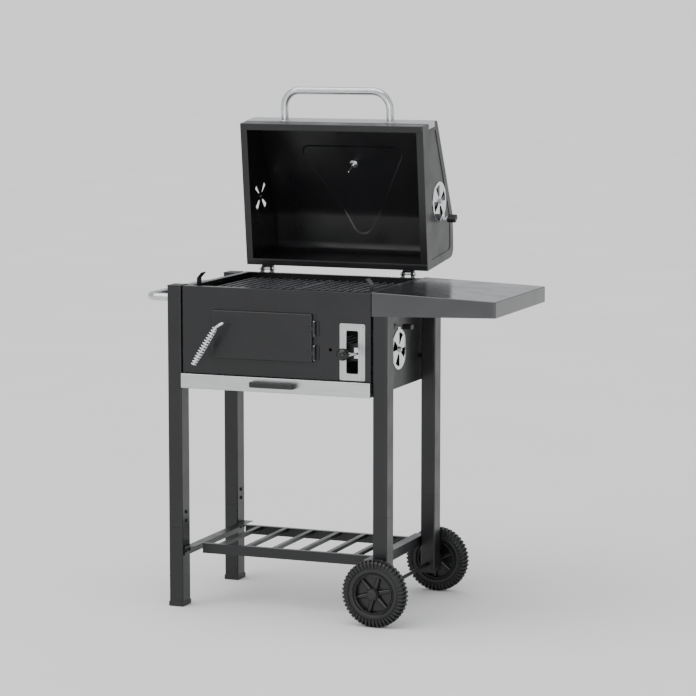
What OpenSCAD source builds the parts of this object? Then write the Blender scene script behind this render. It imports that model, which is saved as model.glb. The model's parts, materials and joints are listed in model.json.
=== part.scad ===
// Charcoal grill cart: rectangular firebox on four box-section legs, an open hood on rear hinges,
// a folded side table on the right, two wheels under it, and a slatted shelf below.
// Millimetres, +X to the right, +Y to the back, +Z up.

/* [Cart] */
// Outer width across the legs
legs_w = 626; // [600:1:680]
// Outer depth across the legs
legs_d = 418; // [400:1:460]
// Height of the firebox rim above the ground
rim_h = 870; // [850:1:920]
// Width of the leg tube
leg_w = 40; // [34:1:44]
// Depth of the leg tube
leg_d = 50; // [40:1:54]
// Length of a lower leg up to its seam
lower_leg = 215; // [190:1:240]
// Height of the right legs' lower ends above the ground
right_lift = 65; // [58:1:70]

/* [Wheels] */
// Outer radius of a wheel, which is also the axle's height
wheel_r = 89; // [84:1:92]
// Width of a wheel's tread
wheel_w = 36; // [30:1:40]
// Radius of the axle rod
axle_r = 5; // [4:0.5:6]

/* [Firebox] */
// Outer width of the firebox
box_w = 535; // [520:1:539]
// Height of the firebox's lower edge
box_foot = 597; // [580:1:600]
// Height of the front panel's lower edge
panel_foot = 638; // [636:1:640]
// Thickness of the folded sheet
sheet = 1.5; // [1:0.1:1.6]
// Radius of a round damper
damper_r = 54; // [50:1:56]

/* [Hood] */
// Outer width of the hood
hood_w = 537; // [520:1:538]
// Depth of the hood from its rear wall to its front wall
hood_d = 398; // [380:1:400]
// Angle between the open hood and the closed one
hood_open = 83.5; // [60:0.5:83.5]
// Radius of the hood handle's tube
handle_r = 10.5; // [8:0.5:11]

/* [Side table] */
// Length of the side table
table_len = 337; // [250:1:400]
// Drop of the table top towards its outer edge
table_drop = 12; // [0:1:15]

/* [Charcoal pan] */
// Height of the lever above the ground
lever_z = 710; // [700:1:715]

/* [Hidden] */

$fn = 48;
anthracite = "#38383b";
steel = "#c9cacb";
chrome = "#dcdde0";
plastic = "#1c1c1e";
iron = "#242426";

gap = 0.3;             // between bodies that slide past each other
run = 0.05;            // radial clearance of a pin in its bore
leg_wall = 1.5;
leg_x = legs_w / 2 - leg_w / 2;
leg_y = legs_d / 2 - leg_d / 2;
leg_face = legs_w / 2 - leg_w;
neck_h = 60;           // how far a lower leg reaches up into the upper one
neck_gap = 0.25;
cap_base = 4;
cap_h = 13;
cap_wall = 1.2;
plug_h = 2.5;
right_leg_top = rim_h - 2;
bolt_heights = [17, 41];   // leg bolts above the seam
bolt_r = 3;
bolt_head_r = 5.5;
bolt_head_h = 3.2;
box_bolt_heights = [660, 830];
box_bolt_r = 6;        // spacer between a leg and the firebox wall

shelf_z = 165;         // top of the shelf
shelf_h = 27;
shelf_flange = 28;
shelf_side_gap = 2;
shelf_side_y = legs_d / 2 - 9;
shelf_end_y = 145;
shelf_end_flange = 14;
slat_count = 6;
slat_pitch = 78;
slat_w = 14;
slat_h = 10;
rail_out = leg_face - shelf_side_gap;
rail_in = rail_out - shelf_flange;

hub_r = 17;
hub_w = 40;
wheel_out = 14;        // from a leg to its wheel's hub
wheel_y = legs_d / 2 + wheel_out + hub_w / 2;
collar_r = 8;          // on the axle, between a leg and its wheel
spoke_count = 6;
rim_r = 58;
hub_cap_r = 13;
hub_cap_h = 8;
axle_end = wheel_y + hub_w / 2 + hub_cap_h - 2;

front_y = -legs_d / 2;
rear_y = legs_d / 2;
wall_x = box_w / 2;
rim_flange = 18;
ledge_z = rim_h - 27;
ledge_w = 25;

door_x = [-179.5, 106.5];
door_z = [682, 810];
door_frame = 7;        // width of the raised frame beyond the door
door_lap = 9;          // how far the door covers the panel round its opening
frame_h = 1.2;         // how far the raised frame stands out
door_depth = 6.6;
hinge_x = door_x[1] + 5;
hinge_y = front_y - frame_h - 5.3;
hinge_h = 36;
hinge_zs = [690, 754];
hinge_pin_r = 2;
knuckle_r = 4.5;
latch = [-131, 780];   // X and Z of the latch rod
rod_r = 4;
rod_out = 46;
coil_r = 4;
coil_turns = 14;
coil_pitch = 8.4;
grip_tilt = 32;
grip_x = latch[0] - 18;
grip_z = latch[1] - 11;
grip_y = front_y - 50;

bezel = [[181.5, 640], [252, 789]];
slot = [[200, 658], [232, 772]];
lever_x = 226;
lever_r = 4;
lever_cone_r = 9;
knob = [212, front_y - 56, lever_z + 5];
knob_r = 16.5;
eyelet = [155, 718];

drawer_w = 539;
drawer_y = front_y - 12;
drawer_z = [597.5, 636.5];
tray_x = 256;
tray_z = [599, 634];
pull_w = 128;
pull_z = [612, 626];
pull_out = 25;

pan_x = 232;
pan_y = 182;
pan_z = lever_z - 22;
pan_h = 46;
pan_lip = 8;

grate_gap = 3;
grate_w = 229;
grate_y = 188;
bar_w = 7;
bar_h = 12;
bar_count = 11;
grate_z = ledge_z + sheet + gap;

hook_x = wall_x - sheet - rim_flange;
hook_y = -147;
hook_w = 28;
hook_h = 17;
hook_reach = 13;

table_x = wall_x + 3;
table_y = legs_d / 2 + sheet;
table_top = rim_h + 3;
table_front_h = [63, 42];  // skirt height at the firebox and at the outer edge

carry_z = 835;
carry_out = 68;
carry_bend = 30;

vent_y = 0;
vent_z = 700;
vent_in = 14;
vent_out = 45;
vent_half = 20;
box_vent_turn = 72;
damper_t = 1.4;
rivet_r = 4;
nut_r = 6.5;
nut_h = 5;
tab_start = damper_r - 4;
tab_len = 12;
tab_w = 16;
tab_out = 32;
sleeve_w = 22;         // grip pushed over a damper's tab
sleeve_t = 13;
sleeve_x = [13, 38];

hood_rim_z = rim_h + 3;
hood_rear = 217;
axis_y = hood_rear + 11;
axis_z = hood_rim_z + 4;
hood_profile = [[0, 0], [0, 214], [115, 219], [hood_d, 117], [hood_d, 0]];
hood_radii = [0, 28, 70, 12, 0];
hood_side_t = 1.5;
press_d = 1.5;         // depth of the pressed field in a hood side
hood_vent = [173, 114];
hood_tab_turn = 30;
hood_vent_turn = 34;
damper_turn_left = 56;
damper_turn_right = 13.5;
pressed_triangle = [[-163, 315], [0, 23], [163, 315]];
pressed_radii = [22, 30, 22];
strip_q = [42, 104];
strip_t = 1.2;
strip_tab = [[384, 46], [hood_d, 92]];
grip_q = 55;
grip_x_half = 155.5;
grip_reach = 85.5;
grip_bend = 48;
rosette_r = 16;
rosette_h = 3;
dial = [262, 36, 12];  // place along the hood's depth, radius and thickness
slope = atan2(hood_profile[2][1] - hood_profile[3][1], hood_profile[3][0] - hood_profile[2][0]);
stem_r = 3;
hood_hinge_x = 209;
pin_r = 3;
ear_x = [13.2, 16];
cheek_x = [10, 12];
stop_y = 8;

// The bounding box's middle, so that the part's origin lies under it
span_x = [-legs_w / 2 - carry_out - handle_r, table_x + table_len];
span_y = [knob.y - knob_r, hood_highest_y()];
middle = [(span_x[0] + span_x[1]) / 2, (span_y[0] + span_y[1]) / 2];

// ---------- outlines ----------

function unit(v) = v / norm(v);
function normal(a, b) = let (u = unit(b - a)) [-u.y, u.x];

// Each corner of a polygon moved along both its edges' normals
function inset(pts, d) = let (n = len(pts)) [
    for (i = [0 : n - 1])
        let (n1 = normal(pts[(i + n - 1) % n], pts[i]), n2 = normal(pts[i], pts[(i + 1) % n]))
        pts[i] + d * (n1 + n2) / (1 + n1 * n2)
];

// The arc that rounds corner b of the path a, b, c
function fillet(a, b, c, r, steps) = let (
    u = unit(a - b), v = unit(c - b), half = acos(u * v) / 2,
    o = b + unit(u + v) * r / sin(half),
    s = b + u * r / tan(half) - o, e = b + v * r / tan(half) - o,
    a0 = atan2(s.y, s.x), turn = atan2(s.x * e.y - s.y * e.x, s * e)
) [for (i = [0 : steps]) o + r * [cos(a0 + turn * i / steps), sin(a0 + turn * i / steps)]];

// A polygon with its corners rounded, each with its own radius
function rounded(pts, radii, steps = 8) = let (n = len(pts)) [
    for (i = [0 : n - 1]) each radii[i] <= 0
        ? [pts[i]]
        : fillet(pts[(i + n - 1) % n], pts[i], pts[(i + 1) % n], radii[i], steps)
];

// A wedge between two radii
function wedge(r0, r1, mid, half, steps = 6) = concat(
    [for (i = [0 : steps]) r1 * [cos(mid - half + 2 * half * i / steps), sin(mid - half + 2 * half * i / steps)]],
    [for (i = [steps : -1 : 0]) r0 * [cos(mid - half + 2 * half * i / steps), sin(mid - half + 2 * half * i / steps)]]
);

// A point of the hood's profile, as [Y, Z] with the hood closed and with it open
function hood_point(p) = [hood_rear - p.x, hood_rim_z + p.y];
function hood_point_open(p) = let (d = hood_point(p) - [axis_y, axis_z]) [
    axis_y + d.x * cos(hood_open) + d.y * sin(hood_open),
    axis_z - d.x * sin(hood_open) + d.y * cos(hood_open)
];
function hood_highest_y() = max([
    for (p = rounded(hood_profile, hood_radii, 8)) hood_point_open(p).x
]);

// ---------- building blocks ----------

module block(lo, hi) {
    translate(lo) cube(hi - lo);
}

module along_x(x0, x1) {
    translate([x0, 0, 0]) rotate([90, 0, 90]) linear_extrude(x1 - x0) children();
}

module along_y(y0, y1) {
    translate([0, y1, 0]) rotate([90, 0, 0]) linear_extrude(y1 - y0) children();
}

module rod_x(r, x0, x1, y, z) {
    translate([x0, y, z]) rotate([0, 90, 0]) cylinder(r = r, h = x1 - x0);
}

module rod_y(r, x, y0, y1, z) {
    translate([x, y1, z]) rotate([90, 0, 0]) cylinder(r = r, h = y1 - y0);
}

module rod_z(r, x, y, z0, z1) {
    translate([x, y, z0]) cylinder(r = r, h = z1 - z0);
}

module both_sides() {
    children();
    mirror([1, 0, 0]) children();
}

module front_and_rear() {
    children();
    mirror([0, 1, 0]) children();
}

// A quarter bend of round bar in the plane Z = 0, from the direction +Y to the direction -X
module bend(r, bend_r) {
    rotate_extrude(angle = 90) translate([bend_r, 0]) circle(r);
}

// ---------- legs ----------

// A box-section tube, trim smaller all round than the leg's own
module leg_tube(x, y, trim, wall, z0, z1) {
    half = [leg_w / 2 - trim, leg_d / 2 - trim];
    bore = half - [wall, wall];
    difference() {
        block([x - half.x, y - half.y, z0], [x + half.x, y + half.y, z1]);
        block([x - bore.x, y - bore.y, z0 - 1], [x + bore.x, y + bore.y, z1 + 1]);
    }
}

// Drilled for the bolts on the face that looks to the cart's middle
module leg_bolt_bores(side, y, z_seam) {
    for (h = bolt_heights) {
        rod_x(bolt_r + run, side * leg_face - 6, side * leg_face + 6, y, z_seam + h);
    }
}

module leg_upper(side, y, z_seam, z_top) {
    color(anthracite) difference() {
        leg_tube(side * leg_x, y, 0, leg_wall, z_seam, z_top);
        leg_bolt_bores(side, y, z_seam);
    }
}

module leg_lower(side, y, z_foot, z_seam) {
    neck_trim = leg_wall + neck_gap;
    color(anthracite) difference() {
        union() {
            leg_tube(side * leg_x, y, 0, neck_trim + leg_wall, z_seam - 10, z_seam);
            leg_tube(side * leg_x, y, 0, leg_wall, z_foot + cap_base, z_seam - 10);
            leg_tube(side * leg_x, y, neck_trim, leg_wall, z_seam, z_seam + neck_h);
        }
        leg_bolt_bores(side, y, z_seam);
        if (side > 0) {
            rod_y(axle_r + run, leg_x, y - leg_d, y + leg_d, wheel_r);
        }
    }
}

left_seam = lower_leg;
right_seam = right_lift + lower_leg;

module leg_upper_front_left() { leg_upper(-1, -leg_y, left_seam, rim_h - plug_h); }
module leg_upper_rear_left() { leg_upper(-1, leg_y, left_seam, rim_h - plug_h); }
module leg_upper_front_right() { leg_upper(1, -leg_y, right_seam, right_leg_top); }
module leg_upper_rear_right() { leg_upper(1, leg_y, right_seam, right_leg_top); }
module leg_lower_front_left() { leg_lower(-1, -leg_y, 0, left_seam); }
module leg_lower_rear_left() { leg_lower(-1, leg_y, 0, left_seam); }
module leg_lower_front_right() { leg_lower(1, -leg_y, right_lift, right_seam); }
module leg_lower_rear_right() { leg_lower(1, leg_y, right_lift, right_seam); }

module foot_cap(x, y, z) {
    half = [leg_w, leg_d] / 2;
    out = half + [cap_wall, cap_wall];
    difference() {
        block([x - out.x, y - out.y, z], [x + out.x, y + out.y, z + cap_h]);
        block([x - half.x, y - half.y, z + cap_base], [x + half.x, y + half.y, z + cap_h + 1]);
    }
}

module top_plug(x, y) {
    half = [leg_w, leg_d] / 2;
    spigot = half - [1, 1] * (leg_wall + neck_gap);
    block([x - half.x, y - half.y, rim_h - plug_h], [x + half.x, y + half.y, rim_h]);
    block([x - spigot.x, y - spigot.y, rim_h - 15], [x + spigot.x, y + spigot.y, rim_h - plug_h]);
}

module leg_caps() {
    color(plastic) front_and_rear() {
        foot_cap(-leg_x, -leg_y, 0);
        foot_cap(leg_x, -leg_y, right_lift);
        top_plug(-leg_x, -leg_y);
    }
}

// A bolt whose head is on the leg's inner face
module leg_bolt(side, y, z) {
    translate([side * leg_face, y, z]) rotate([0, side * 90, 0]) {
        translate([0, 0, -bolt_head_h]) cylinder(r1 = bolt_head_r - 1.5, r2 = bolt_head_r, h = bolt_head_h);
        cylinder(r = bolt_r, h = 5);
    }
}

module frame_bolts() {
    color(chrome) front_and_rear() {
        for (h = bolt_heights) {
            leg_bolt(-1, -leg_y, left_seam + h);
            leg_bolt(1, -leg_y, right_seam + h);
        }
        both_sides() for (z = box_bolt_heights) {
            rod_x(box_bolt_r, wall_x, leg_face, -leg_y, z);
            rod_x(bolt_head_r, wall_x - sheet - bolt_head_h, wall_x - sheet, -leg_y, z);
        }
        both_sides() for (y = [leg_y - 10, leg_y + 10]) {
            translate([rail_out - sheet, -y, shelf_z - shelf_h / 2]) rotate([0, 90, 0])
                translate([0, 0, -bolt_head_h]) cylinder(r1 = bolt_head_r - 1.5, r2 = bolt_head_r, h = bolt_head_h);
        }
    }
}

// ---------- shelf ----------

module shelf_rail_side() {
    color(anthracite) {
        block([rail_in, -shelf_side_y, shelf_z - sheet], [rail_out, shelf_side_y, shelf_z]);
        block([rail_out - sheet, -shelf_side_y, shelf_z - shelf_h], [rail_out, shelf_side_y, shelf_z]);
        front_and_rear() block(
            [rail_out, -leg_y - 16, shelf_z - shelf_h + 4],
            [leg_face, -leg_y + 16, shelf_z - 4]
        );
    }
}

module shelf_rail_right() { shelf_rail_side(); }
module shelf_rail_left() { mirror([1, 0, 0]) shelf_rail_side(); }

module shelf_rail_end() {
    color(anthracite) {
        block([-rail_in, -shelf_end_y, shelf_z - sheet], [rail_in, -shelf_end_y + shelf_end_flange, shelf_z]);
        block([-rail_in, -shelf_end_y, shelf_z - shelf_h], [rail_in, -shelf_end_y + sheet, shelf_z]);
    }
}

module shelf_rail_front() { shelf_rail_end(); }
module shelf_rail_rear() { mirror([0, 1, 0]) shelf_rail_end(); }

module shelf_slats() {
    y_top = shelf_end_y - shelf_end_flange;
    y_end = shelf_end_y - sheet;
    color(anthracite) for (i = [0 : slat_count - 1]) {
        x = (i - (slat_count - 1) / 2) * slat_pitch;
        block([x - slat_w / 2, -y_top, shelf_z - slat_h], [x + slat_w / 2, y_top, shelf_z]);
        block([x - slat_w / 2, -y_end, shelf_z - slat_h], [x + slat_w / 2, y_end, shelf_z - sheet]);
    }
}

// ---------- axle and wheels ----------

module axle() {
    color(steel) {
        rod_y(axle_r, leg_x, -axle_end + 1, axle_end - 1, wheel_r);
        front_and_rear() rod_y(collar_r, leg_x, -legs_d / 2 - wheel_out + gap, -legs_d / 2, wheel_r);
    }
}

module wheel() {
    half = wheel_w / 2;
    shoulder = 7;
    translate([leg_x, -wheel_y, wheel_r]) rotate([90, 0, 0]) color(plastic) difference() {
        union() {
            rotate_extrude($fn = 96) polygon([
                [rim_r, -half + 3], [wheel_r - shoulder - 6, -half], [wheel_r, -half + shoulder],
                [wheel_r, half - shoulder], [wheel_r - shoulder - 6, half], [rim_r, half - 3]
            ]);
            translate([0, 0, -2]) cylinder(r = rim_r + 1, h = 4);
            translate([0, 0, -hub_w / 2]) cylinder(r = hub_r, h = hub_w);
            for (i = [0 : spoke_count - 1]) rotate(i * 360 / spoke_count)
                block([0, -5, -half + 4], [rim_r + 1, 5, half - 4]);
        }
        translate([0, 0, -hub_w]) cylinder(r = axle_r + run, h = 2 * hub_w);
    }
}

module wheel_front() { wheel(); }
module wheel_rear() { mirror([0, 1, 0]) wheel(); }

// Push-on caps that hold the wheels on the axle
module hub_caps() {
    cap_y = wheel_y + hub_w / 2 + 0.5;
    color(plastic) front_and_rear() difference() {
        union() {
            rod_y(hub_cap_r, leg_x, -cap_y - 3, -cap_y, wheel_r);
            translate([leg_x, -cap_y - 3, wheel_r]) rotate([90, 0, 0])
                cylinder(r1 = hub_cap_r, r2 = hub_cap_r - 5, h = axle_end - cap_y - 3);
        }
        rod_y(axle_r, leg_x, -axle_end + 1, 0, wheel_r);
    }
}

// ---------- firebox ----------

module vent_openings(turn) {
    for (i = [0 : 3]) {
        polygon(wedge(vent_in, vent_out, turn + i * 90, vent_half));
    }
}

module firebox_side() {
    color(anthracite) {
        difference() {
            block([wall_x - sheet, front_y + sheet, box_foot], [wall_x, rear_y - sheet, rim_h]);
            along_x(wall_x - 5, wall_x + 5) translate([vent_y, vent_z]) vent_openings(box_vent_turn);
            rod_x(rivet_r, wall_x - 5, wall_x + 5, vent_y, vent_z);
        }
        block([hook_x, front_y + sheet, rim_h - sheet], [wall_x - sheet, rear_y - sheet, rim_h]);
    }
}

module firebox_right() { firebox_side(); }
module firebox_left() { mirror([1, 0, 0]) firebox_side(); }

// The rim's flange and the ledge that the grates rest on
module rim_and_ledge() {
    block([-hook_x, front_y + sheet, rim_h - sheet], [hook_x, front_y + sheet + rim_flange, rim_h]);
    block([-hook_x, front_y + sheet, ledge_z], [hook_x, front_y + sheet + ledge_w, ledge_z + sheet]);
}

module firebox_front() {
    door_hole = [[door_x[0] + door_lap, door_z[0] + door_lap], [door_x[1] - door_lap, door_z[1] - door_lap]];
    color(anthracite) difference() {
        union() {
            block([-wall_x, front_y, panel_foot], [wall_x, front_y + sheet, rim_h]);
            block(
                [door_x[0] - door_frame, front_y - frame_h, door_z[0] - door_frame],
                [door_x[1] + door_frame + 2, front_y, door_z[1] + door_frame - 3]
            );
            rim_and_ledge();
        }
        block([door_hole[0].x, front_y - 5, door_hole[0].y], [door_hole[1].x, front_y + 5, door_hole[1].y]);
        block([slot[0].x - 1, front_y - 5, slot[0].y - 1], [slot[1].x + 1, front_y + 5, slot[1].y + 1]);
        rod_y(4.5, eyelet[0], front_y - 5, front_y + 5, eyelet[1]);
    }
}

module firebox_rear() {
    color(anthracite) mirror([0, 1, 0]) {
        block([-wall_x, front_y, box_foot], [wall_x, front_y + sheet, rim_h]);
        rim_and_ledge();
    }
}

module drawer_runners() {
    color(anthracite) both_sides()
        block([wall_x - sheet - 16, front_y + 10, box_foot], [wall_x - sheet, rear_y - 10, box_foot + sheet]);
}

// ---------- ash drawer ----------

module tray(x, y0, y1, z0, z1, wall) {
    difference() {
        block([-x, y0, z0], [x, y1, z1]);
        block([-x + wall, y0 + wall, z0 + wall], [x - wall, y1 - wall, z1 + 1]);
    }
}

module ash_drawer() {
    color(steel) tray(tray_x, front_y - 1, rear_y - 12, tray_z[0], tray_z[1], sheet);
}

module drawer_front() {
    x = drawer_w / 2;
    color(steel) difference() {
        block([-x, drawer_y, drawer_z[0]], [x, front_y - 1, drawer_z[1]]);
        block([-x + sheet, drawer_y + sheet, drawer_z[0] + sheet], [x - sheet, front_y, drawer_z[1] - sheet]);
    }
}

module drawer_handle() {
    x = pull_w / 2;
    y = drawer_y - pull_out;
    color(plastic) {
        block([-x, y, pull_z[0]], [x, y + 9, pull_z[1]]);
        both_sides() block([x - 14, y, pull_z[0]], [x, drawer_y, pull_z[1]]);
    }
}

// ---------- height lever and charcoal pan ----------

module bezel_plate() {
    color(steel) difference() {
        block([bezel[0].x, front_y - sheet, bezel[0].y], [bezel[1].x, front_y, bezel[1].y]);
        block([slot[0].x, front_y - 5, slot[0].y], [slot[1].x, front_y + 5, slot[1].y]);
    }
}

module bezel_screws() {
    inset_d = 6;
    color(chrome) for (x = [bezel[0].x + inset_d, bezel[1].x - inset_d]) {
        for (z = [bezel[0].y + inset_d, bezel[1].y - inset_d]) {
            translate([x, front_y - sheet, z]) rotate([90, 0, 0]) cylinder(r1 = 3.2, r2 = 2, h = 1.8);
        }
    }
}

// From a point to another, as a straight round bar
module bar(from, to, r1, r2) {
    d = to - from;
    translate(from) rotate([0, acos(d.z / norm(d)), atan2(d.y, d.x)]) cylinder(r1 = r1, r2 = r2, h = norm(d));
}

lever_mouth = [lever_x, front_y - 4, lever_z];
knob_seat = knob - 11 * unit(knob - lever_mouth);

module lift_lever() {
    color(chrome) {
        rod_y(lever_r, lever_x, front_y - 6, -pan_y - 6, lever_z);
        bar(lever_mouth, knob_seat, lever_r, lever_cone_r);
        block([lever_x - 12, -pan_y - 8, lever_z - 14], [lever_x + 6, -pan_y - 5, lever_z + 14]);
        block([lever_x - 12, -pan_y - 8, lever_z - 14], [lever_x + 6, -pan_y, lever_z - 11]);
    }
}

module lever_knob() {
    color(plastic) difference() {
        translate(knob) sphere(r = knob_r);
        bar(lever_mouth, knob_seat, lever_r, lever_cone_r);
    }
}

module charcoal_pan() {
    color(iron) {
        difference() {
            tray(pan_x, -pan_y, pan_y, pan_z, pan_z + pan_h, sheet);
            for (i = [-4 : 4]) for (j = [-2 : 2]) {
                rod_z(7, i * 44, j * 60, pan_z - 5, pan_z + 5);
            }
        }
        both_sides() block(
            [pan_x, -pan_y, pan_z + pan_h - sheet],
            [pan_x + pan_lip, pan_y, pan_z + pan_h]
        );
    }
}

module charcoal_grate() {
    z = pan_z + 14;
    x = pan_x - 12;
    y = pan_y - 10;
    color(iron) {
        for (i = [-9 : 9]) {
            block([i * 23 - 3, -y, z], [i * 23 + 3, y, z + 6]);
        }
        front_and_rear() block([-x, -y, z - 5], [x, -y + 8, z + 2]);
        block([-x, -4, z - 5], [x, 4, z + 2]);
        both_sides() front_and_rear() block([x - 16, -y, pan_z + sheet + gap], [x - 8, -y + 8, z - 5]);
    }
}

// ---------- cooking grates ----------

module cooking_grate() {
    x0 = grate_gap / 2;
    pitch = (grate_w - bar_w) / (bar_count - 1);
    color(iron) {
        for (i = [0 : bar_count - 1]) {
            block([x0 + i * pitch, -grate_y, grate_z], [x0 + i * pitch + bar_w, grate_y, grate_z + bar_h]);
        }
        for (y = [-grate_y + 12, -3, grate_y - 18]) {
            block([x0, y, grate_z], [x0 + grate_w, y + 6, grate_z + bar_h - 4]);
        }
    }
}

module cooking_grate_right() { cooking_grate(); }
module cooking_grate_left() { mirror([1, 0, 0]) cooking_grate(); }

// Bent strips that stand on the rim's inner edge, one at each side
module rack_hooks() {
    t = 2;
    color(anthracite) both_sides() along_y(hook_y - hook_w / 2, hook_y + hook_w / 2) polygon([
        [hook_x, rim_h - sheet], [hook_x, rim_h + hook_h], [hook_x - hook_reach, rim_h + hook_h + hook_reach + 2],
        [hook_x - hook_reach - t, rim_h + hook_h + hook_reach], [hook_x - t, rim_h + hook_h - 1],
        [hook_x - t, rim_h - sheet]
    ]);
}

// ---------- side table ----------

module side_table() {
    x1 = table_x + table_len;
    z1 = table_top - table_drop;
    low = [table_top - table_front_h[0], z1 - table_front_h[1]];
    color(anthracite) {
        along_y(-table_y, table_y) polygon([
            [table_x, table_top], [x1, z1], [x1, z1 - sheet], [table_x, table_top - sheet]
        ]);
        front_and_rear() along_y(-table_y, -table_y + sheet) polygon([
            [table_x, table_top - 0.1], [x1, z1 - 0.1], [x1, low[1]], [table_x, low[0]]
        ]);
        block([x1 - sheet, -table_y, low[1]], [x1, table_y, z1 - 0.1]);
        block([table_x, -table_y, table_top - 12], [table_x + sheet, table_y, table_top]);
    }
}

// ---------- carrying handle on the left ----------

module carry_handle() {
    x_leg = -legs_w / 2;
    x_bar = x_leg - carry_out;
    y_bar = leg_y - carry_bend;
    color(chrome) {
        rod_y(handle_r, x_bar, -y_bar, y_bar, carry_z);
        front_and_rear() {
            translate([x_bar + carry_bend, -y_bar, carry_z]) rotate(180) bend(handle_r, carry_bend);
            rod_x(handle_r, x_bar + carry_bend, x_leg, -leg_y, carry_z);
        }
    }
}

// ---------- dampers ----------

// A damper on the face X = 0 that looks to +X, centred on the origin, its tab pointing along `turn`
module damper(turn, openings) {
    strip_x = tab_start + tab_len - damper_t;
    color(chrome) difference() {
        union() {
            along_x(gap, gap + damper_t) {
                circle(damper_r);
                rotate(turn) translate([tab_start, -tab_w / 2]) square([tab_len, tab_w]);
            }
            along_x(gap, tab_out) rotate(turn) translate([strip_x, -tab_w / 2]) square([damper_t, tab_w]);
        }
        along_x(-5, 5) vent_openings(openings);
        rod_x(rivet_r + run, -5, 5, 0, 0);
    }
    color(plastic) difference() {
        along_x(sleeve_x[0], sleeve_x[1]) rotate(turn)
            translate([strip_x + damper_t / 2 - sleeve_t / 2, -sleeve_w / 2]) square([sleeve_t, sleeve_w]);
        along_x(0, tab_out) rotate(turn) translate([strip_x, -tab_w / 2]) square([damper_t, tab_w]);
    }
}

module damper_rivet() {
    face = gap + damper_t + 0.2;
    color(chrome) {
        rod_x(rivet_r, -4, face, 0, 0);
        rod_x(rivet_r + 5, face, face + 1, 0, 0);
        translate([face + 1, 0, 0]) rotate([0, 90, 0]) cylinder(r = nut_r, h = nut_h, $fn = 6);
    }
}

module firebox_damper_right() { translate([wall_x, vent_y, vent_z]) damper(90, box_vent_turn); }
module firebox_damper_left() { mirror([1, 0, 0]) firebox_damper_right(); }
module firebox_damper_rivets() { both_sides() translate([wall_x, vent_y, vent_z]) damper_rivet(); }

// ---------- fire door ----------

module fire_door() {
    back = front_y - frame_h - 0.4;
    front = back - door_depth;
    color(anthracite) difference() {
        union() {
            difference() {
                block([door_x[0], front, door_z[0]], [door_x[1], back, door_z[1]]);
                block(
                    [door_x[0] + sheet, front + sheet, door_z[0] + sheet],
                    [door_x[1] - sheet, back + 1, door_z[1] - sheet]
                );
            }
            for (z = hinge_zs) {
                rod_z(knuckle_r, hinge_x, hinge_y, z + 12.3, z + 23.7);
                block([door_x[1] - 7, front - sheet, z + 12.3], [hinge_x, front + 0.5, z + 23.7]);
            }
        }
        for (z = hinge_zs) rod_z(hinge_pin_r + run, hinge_x, hinge_y, z, z + hinge_h);
        rod_y(rod_r + run, latch[0], front - 5, back + 5, latch[1]);
    }
}

module door_hinge_leaves() {
    edge = door_x[1] + door_frame + 2;
    color(anthracite) for (z = hinge_zs) difference() {
        for (span = [[0, 12], [24, hinge_h]]) {
            rod_z(knuckle_r, hinge_x, hinge_y, z + span[0], z + span[1]);
            block([hinge_x, hinge_y + 1, z + span[0]], [hinge_x + 3, front_y - frame_h, z + span[1]]);
        }
        rod_z(hinge_pin_r + run, hinge_x, hinge_y, z - 1, z + hinge_h + 1);
    }
    color(anthracite) for (z = hinge_zs) {
        block([hinge_x + 3, front_y - frame_h - sheet, z], [edge, front_y - frame_h, z + hinge_h]);
        block([edge, front_y - frame_h - sheet, z], [edge + 8, front_y, z + hinge_h]);
    }
}

module door_hinge_pins() {
    color(chrome) for (z = hinge_zs) {
        rod_z(hinge_pin_r, hinge_x, hinge_y, z - 1, z + hinge_h);
        rod_z(hinge_pin_r + 1, hinge_x, hinge_y, z + hinge_h + 0.1, z + hinge_h + 1.6);
        rod_z(hinge_pin_r, hinge_x, hinge_y, z + hinge_h - 0.1, z + hinge_h + 0.2);
    }
}

grip_start = [grip_x, grip_y, grip_z];
grip_dir = [-sin(grip_tilt), -0.04, -cos(grip_tilt)];
coil_length = coil_turns * coil_pitch;

module door_handle_rod() {
    elbow = [latch[0], grip_y, latch[1]];
    tail = 34;
    color(chrome) {
        rod_y(rod_r, latch[0], grip_y, front_y + 6, latch[1]);
        translate(elbow) sphere(r = rod_r);
        bar(elbow, grip_start, rod_r, rod_r);
        translate(grip_start) sphere(r = rod_r);
        bar(grip_start, grip_start + (coil_length - 4) * unit(grip_dir), rod_r, rod_r);
        block([latch[0] - tail, front_y + 3, latch[1] - 6], [latch[0] + 6, front_y + 6, latch[1] + 6]);
    }
}

// The spring grip, drawn as rings that touch; it swells towards its middle
module door_handle_coil() {
    d = unit(grip_dir);
    color(chrome) translate(grip_start + 6 * d) rotate([0, acos(d.z), atan2(d.y, d.x)]) rotate_extrude() {
        for (i = [0 : coil_turns - 1]) {
            swell = 2.6 * sin(180 * (i + 1) / (coil_turns + 1));
            translate([rod_r + run + coil_r / 2 + swell, i * coil_pitch]) circle(coil_r * 0.55);
            translate([rod_r + run, i * coil_pitch - coil_pitch / 2]) square([1.2 + swell, coil_pitch]);
        }
    }
}

// ---------- hood ----------

// Everything on the hood is drawn closed and swung open about the hinge pins
module open_hood() {
    translate([0, axis_y, axis_z]) rotate([-hood_open, 0, 0]) translate([0, -axis_y, -axis_z]) children();
}

module hood_polygon(pts, radii) {
    polygon([for (p = rounded(pts, radii)) hood_point(p)]);
}

// Stands a shape on the hood's sloping front, +Z outwards, at a distance along its depth
module on_slope(p) {
    q = hood_profile[3][1] + (hood_d - p) * tan(slope);
    at = hood_point([p, q]);
    translate([0, at.x, at.y]) rotate([slope, 0, 0]) children();
}

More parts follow.
